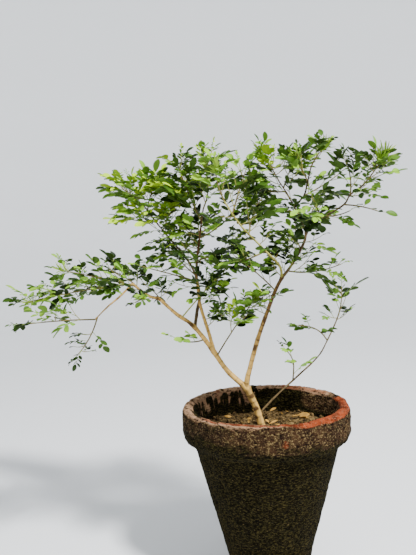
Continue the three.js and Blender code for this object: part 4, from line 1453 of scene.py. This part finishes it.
def limb_surface(name, relief):
    """A limb's rings of points. Ridges run along it, and leaf scars and knots stand out. Also gives
    its grain, a place on the bark unrolled, and its shade: painted shade below and towards the tip
    under the crown, and darker at scars and knots."""
    limb, path, seed = LIMBS[name], limb_paths()[name], list(LIMBS).index(name)
    thick = limb["radius"][0]
    sides = LIMB_SIDES[0] if thick > THICK_LIMB else LIMB_SIDES[1]
    share = np.linspace(0, 1, int(path.length / RING_STEP))
    centres, ahead = path.spaced(share)
    if name == "trunk":
        centres = np.vstack([centres[0] - TRUNK_SUNK * ahead[0], centres])
        share = np.append(0, share)
    along = share * path.length
    radius = limb_radius(name, share)[:, None]
    angle = np.linspace(0, 2 * math.pi, sides, endpoint=False)
    wrap = np.stack(np.broadcast_arrays(
        radius * np.cos(angle), radius * np.sin(angle), along[:, None] / GRAIN_STRETCH,
    ), axis=-1)
    ridges = rough(wrap, *RIDGES[:2], RIDGES[2] + seed)
    lumps = rough(wrap * [1, 1, LUMP_SQUASH], *LUMPS[:2], LUMPS[2] + seed)
    scars = leaf_scars(seed, along, path.length)
    depth = relief / MM * min(1, thick / FULL_RELIEF_RADIUS)
    grown = radius + depth * (RIDGE_HEIGHT * ridges + SCAR_HEIGHT * scars[:, None])
    grown = grown + LUMP_HEIGHT * radius * lumps
    points, spoke = tubes(centres[None], grown[None], sides)
    knots = np.zeros_like(grown)
    for owner, place, facing, half in KNOTS:
        if owner == name:
            turned = np.clip(spoke[0] @ direction(facing, 0), 0, 1)**3
            knots += turned * np.exp(-((along[:, None] - place) / half)**2)
    points[0, :-2] += (KNOT_HEIGHT * knots[..., None] * spoke[0]).reshape(-1, 3)
    grain = np.concatenate([wrap.reshape(-1, 3), np.zeros((2, 3))]) * MM
    # Painted shade: the bark is darker on its underside.
    below = np.clip(-spoke[0, ..., 2], 0, 1)
    # Darker at leaf scars, and painted shade from the crown towards a limb's tip.
    scars_and_crown_shade = SCAR_DARK * np.clip(scars, 0, 1)
    scars_and_crown_shade = scars_and_crown_shade + limb.get("crown_shade", 0) * smooth_step(*CROWN_SHADE_SPAN, share)
    shade = np.zeros((len(points[0]), 3))
    shade[:-2, 0] = (UNDERSIDE_PAINTED_SHADE * below + scars_and_crown_shade[:, None] + KNOT_DARK * knots).ravel()
    quads, fans = ring_faces(len(centres), sides)
    return points[0], quads, fans, grain, shade


def joined(surfaces):
    """Several limbs' points, faces, grain and shade, each set end to end."""
    points, quads, fans, grain, shade = zip(*surfaces)
    starts = np.cumsum([0, *(len(found) for found in points[:-1])])
    quads, fans = (
        [faces + start for faces, start in zip(kind, starts)] for kind in (quads, fans)
    )
    return [np.vstack(found) for found in (points, quads, fans, grain, shade)]


class SHRUB_OT_limbs(bpy.types.Operator):
    """Make the trunk, stems and boughs with their bark"""

    bl_idname = "shrub.limbs"
    bl_label = "Trunk and boughs"

    def execute(self, context):
        wood = context.scene.shrub_wood
        kinds = {
            "old": ("trunk_and_stems", "tan_bark", wood.old_light, wood.old_dark),
            "dark": ("brown_boughs", "brown_bark", wood.dark_light, wood.dark_dark),
            "green": ("young_bough", "green_bark", wood.green_light, wood.green_dark),
        }
        for kind, (piece, bark, light, dark) in kinds.items():
            names = [name for name, limb in LIMBS.items() if limb["wood"] == kind]
            surface = joined([limb_surface(name, wood.relief) for name in names])
            new_wood(piece, surface, bark_finish(bark, light, dark), names)
        return {"FINISHED"}


# Rows and sides of the tubes of stems and twigs, the sides of leaf stalks, how much darker a stem is
# below as painted shade, and how far the next stem's grain is shifted
STEM_FORM = (22, 9)
TWIG_FORM = (8, 7)
STALK_SIDES = 5
STEM_UNDERSIDE_PAINTED_SHADE = 0.5
GRAIN_SHIFT = 31.7


def stem_tubes(paths, radii, rows, sides):
    """Plain tapering tubes along paths, with the grain and shade of their bark, the shade painted
    darker on each underside.
    """
    share = np.linspace(0, 1, rows)
    centres = np.array([path.spaced(share)[0] for path in paths])
    radius = np.linspace(*radii, rows)[None, :, None]
    points, spoke = tubes(centres, radius, sides)
    count, step = points.shape[:2]
    angle = np.linspace(0, 2 * math.pi, sides, endpoint=False)
    along = np.array([path.length for path in paths])[:, None, None] * share[None, :, None]
    shift = GRAIN_SHIFT * np.arange(count)[:, None, None]
    wrap = np.stack(np.broadcast_arrays(
        radius * np.cos(angle) + shift, radius * np.sin(angle), along / GRAIN_STRETCH,
    ), axis=-1).reshape(count, -1, 3)
    grain = np.concatenate([wrap, wrap[:, :1], wrap[:, -1:]], axis=1) * MM
    shade = np.zeros((count, step, 3))
    # Painted shade: each stem is darker on its underside.
    below = np.clip(-spoke[..., 2], 0, 1).reshape(count, -1)
    shade[:, :-2, 0] = STEM_UNDERSIDE_PAINTED_SHADE * below
    return *all_faces(points, rows, sides), grain.reshape(-1, 3), shade.reshape(-1, 3)


class SHRUB_OT_twigs(bpy.types.Operator):
    """Make the sprays' stems, their side twigs and the leaf stalks"""

    bl_idname = "shrub.twigs"
    bl_label = "Twigs and stalks"

    def execute(self, context):
        wood, leaf = context.scene.shrub_wood, context.scene.shrub_leaf
        twigs, leaves, _ = foliage()
        stems = spray_paths().items()
        brown_stems = [path for name, path in stems if name not in GREEN_STEMS]
        green_stems = [path for name, path in stems if name in GREEN_STEMS]
        brown = between(wood.green_light, wood.dark_light, 0.8)
        brownish = between(wood.green_light, wood.dark_light, 0.5)
        fresh = between(wood.green_light, leaf.stalk, 0.5)
        for piece, paths, radii, form, bark, light, dark in (
            ("spray_stems", brown_stems, SPRAY_RADIUS, STEM_FORM, "green_brown_bark", brown,
             wood.dark_dark),
            ("green_stems", green_stems, SPRAY_RADIUS, STEM_FORM, "green_shoot_bark", fresh,
             wood.green_dark),
            ("side_twigs", twigs, TWIG_RADIUS, TWIG_FORM, "green_twig_bark", brownish,
             wood.green_dark),
        ):
            new_wood(piece, stem_tubes(paths, radii, *form), bark_finish(bark, light, dark))
        stalks = np.array([plan["stalk"] for plan in leaves])
        radius = np.linspace(*STALK_RADIUS, STALK_ROWS)[None, :, None]
        points, _ = tubes(stalks, radius, STALK_SIDES)
        darker = between(leaf.stalk, wood.green_dark, 0.4)
        skin = leaf_finish("leaf_stalk", leaf.stalk, darker, 0.5)
        new_piece("leaf_stalks", *all_faces(points, STALK_ROWS, STALK_SIDES), [skin], "leaf")
        return {"FINISHED"}


class SHRUB_OT_leaves(bpy.types.Operator):
    """Make the leaves, one piece for each tint, and the young tufts"""

    bl_idname = "shrub.leaves"
    bl_label = "Leaves"

    def execute(self, context):
        settings = context.scene.shrub_leaf
        _, leaves, blades = foliage()
        form = leaflet_form(settings.width)
        mains = {tint: [] for tint in TINTS}
        for name, row in SPRAYS.items():
            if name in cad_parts:
                mains[TINTS[int(np.argmax(row[6]))]].append(name)
        slots = {"deep": "leaf", "green": "leaf", "fresh": "bright_leaf", "young": "bright_leaf"}
        paler = settings.under
        # The tints are lit and shaded copies of the leaf green: deep is painted shade, fresh painted
        # sunlight, young partly new growth and partly painted sunlight.
        for number, tint in enumerate(TINTS):
            plans = [plan for plan in leaves if plan["tint"] == number]
            colour = getattr(settings, tint)
            lighter = getattr(settings, TINTS[min(number + 1, len(TINTS) - 1)])
            upper = leaf_finish(
                f"{tint}_leaf_upper", colour, between(colour, lighter, 0.3), 0.42,
            )
            lower = leaf_finish(
                f"{tint}_leaf_underside", between(colour, paler, 0.35),
                between(colour, paler, 0.6), 0.6,
            )
            new_leaves(f"leaves_{tint}", form, plans, [upper, lower], slots[tint], mains[tint])
        darker = between(settings.tuft, settings.fresh, 0.6)
        young = leaf_finish("tuft_leaf", settings.tuft, darker, 0.45)
        narrow = leaflet_form(BLADE_WIDTH, BLADE_FOLD)
        new_leaves("young_tufts", narrow, blades, [young], "bright_leaf")
        return {"FINISHED"}


# The photograph's camera: its place in metres, pitch and roll, and focal length in pixels
CAMERA_PLACE = (-0.0958, -1.4076, 0.6624)
CAMERA_PITCH = 5.6
CAMERA_ROLL = 2.0
FOCAL_PIXELS = 800
LONG_SIDE_PIXELS = 555
SENSOR = 36

# The studio: the floor's line from its middle out and up, and each light's power setting
# and the share of it that it takes, its size and its place in metres
FLOOR_LINE = [(0, 0), (4000, 0), (4000, 4200)]
FLOOR_ROUNDING = 1600
FLOOR_STEP = 120
FLOOR_SIDES = 96
LIGHTS = {
    "key_light": ("key", 1, 0.5, (1.25, -1.5, 3.1)),
    "fill_light": ("fill", 1, 1.6, (-2.4, -1.5, 1.6)),
    "back_light": ("fill", 0.5, 1.4, (0.9, 2.4, 2.2)),
}
LIGHT_TARGET = (0, 0, 0.45)
SKY_COLOUR = "#eef2f7"


def floor_step(points):
    """The same step all along the floor's line."""
    return np.full(len(points), float(FLOOR_STEP))


class SHRUB_OT_stage(bpy.types.Operator):
    """Make the camera, the pale floor and the soft lights"""

    bl_idname = "shrub.stage"
    bl_label = "Stage"

    def execute(self, context):
        settings = context.scene.shrub_stage
        scene = context.scene
        camera = bpy.data.objects.new("camera", bpy.data.cameras.new("camera"))
        scene.collection.objects.link(camera)
        pitch, roll = radians(CAMERA_PITCH), radians(CAMERA_ROLL)
        forward = Vector((0, math.cos(pitch), -math.sin(pitch)))
        level_up = Vector((0, math.sin(pitch), math.cos(pitch)))
        right = math.cos(roll) * Vector((1, 0, 0)) - math.sin(roll) * level_up
        up = math.sin(roll) * Vector((1, 0, 0)) + math.cos(roll) * level_up
        turn = Matrix((right, up, -forward)).transposed()
        camera.matrix_world = Matrix.Translation(CAMERA_PLACE) @ turn.to_4x4()
        camera.data.sensor_width = SENSOR
        camera.data.lens = FOCAL_PIXELS / LONG_SIDE_PIXELS * SENSOR
        scene.camera = camera
        profile = respaced(rounded(FLOOR_LINE, FLOOR_ROUNDING), floor_step)
        rings, _, poles = lathe_points(np.vstack([profile, profile[-1:]]), FLOOR_SIDES)
        quads, fans = ring_faces(*rings.shape[:2])
        points = np.vstack([rings.reshape(-1, 3), poles]) * MM
        faces = [*quads[:, ::-1].tolist(), *fans[:FLOOR_SIDES, ::-1].tolist()]
        mesh = bpy.data.meshes.new("studio_floor")
        mesh.from_pydata(points.tolist(), [], faces)
        mesh.shade_smooth()
        mesh.materials.append(plain_finish("matt_studio_floor", settings.floor, 0.9))
        floor = bpy.data.objects.new("studio_floor", mesh)
        scene.collection.objects.link(floor)
        for name, (setting, share, size, place) in LIGHTS.items():
            data = bpy.data.lights.new(name, "AREA")
            data.energy, data.shape, data.size = share * getattr(settings, setting), "DISK", size
            light = bpy.data.objects.new(name, data)
            light.location = place
            aim = Vector(LIGHT_TARGET) - Vector(place)
            light.rotation_euler = aim.to_track_quat("-Z", "Y").to_euler()
            scene.collection.objects.link(light)
        world = bpy.data.worlds.new("even_sky")
        world.use_nodes = True
        background = world.node_tree.nodes["Background"]
        background.inputs["Color"].default_value = linear(SKY_COLOUR)
        background.inputs["Strength"].default_value = settings.sky
        scene.world = world
        return {"FINISHED"}


class SHRUB_PT_panel(bpy.types.Panel):
    """The shrub's pieces in the sidebar"""

    bl_idname = "SHRUB_PT_panel"
    bl_label = "Potted shrub"
    bl_space_type = "VIEW_3D"
    bl_region_type = "UI"
    bl_category = "Shrub"

    def draw(self, context):
        for operator, group in STEPS:
            box = self.layout.box()
            box.operator(operator.bl_idname)
            settings = getattr(context.scene, group)
            for key in settings.__annotations__:
                box.prop(settings, key)


SETTINGS = {
    "shrub_pot": ShrubPotSettings,
    "shrub_soil": ShrubSoilSettings,
    "shrub_wood": ShrubWoodSettings,
    "shrub_leaf": ShrubLeafSettings,
    "shrub_stage": ShrubStageSettings,
}
STEPS = [
    (SHRUB_OT_stage, "shrub_stage"),
    (SHRUB_OT_pot, "shrub_pot"),
    (SHRUB_OT_soil, "shrub_soil"),
    (SHRUB_OT_litter, "shrub_soil"),
    (SHRUB_OT_limbs, "shrub_wood"),
    (SHRUB_OT_twigs, "shrub_wood"),
    (SHRUB_OT_leaves, "shrub_leaf"),
]
CLASSES = [*SETTINGS.values(), *(operator for operator, _ in STEPS), SHRUB_PT_panel]


def register():
    """Registers the add-on's classes and its settings on the scene."""
    for made in CLASSES:
        bpy.utils.register_class(made)
    for key, group in SETTINGS.items():
        setattr(bpy.types.Scene, key, PointerProperty(type=group))


def unregister():
    """Takes the settings and the classes away again."""
    for key in SETTINGS:
        delattr(bpy.types.Scene, key)
    for made in reversed(CLASSES):
        bpy.utils.unregister_class(made)


def main():
    """Makes every piece."""
    register()
    bpy.ops.shrub.stage()
    bpy.ops.shrub.pot()
    bpy.ops.shrub.soil()
    bpy.ops.shrub.litter()
    bpy.ops.shrub.limbs()
    bpy.ops.shrub.twigs()
    bpy.ops.shrub.leaves()


if __name__ == "__main__":
    main()
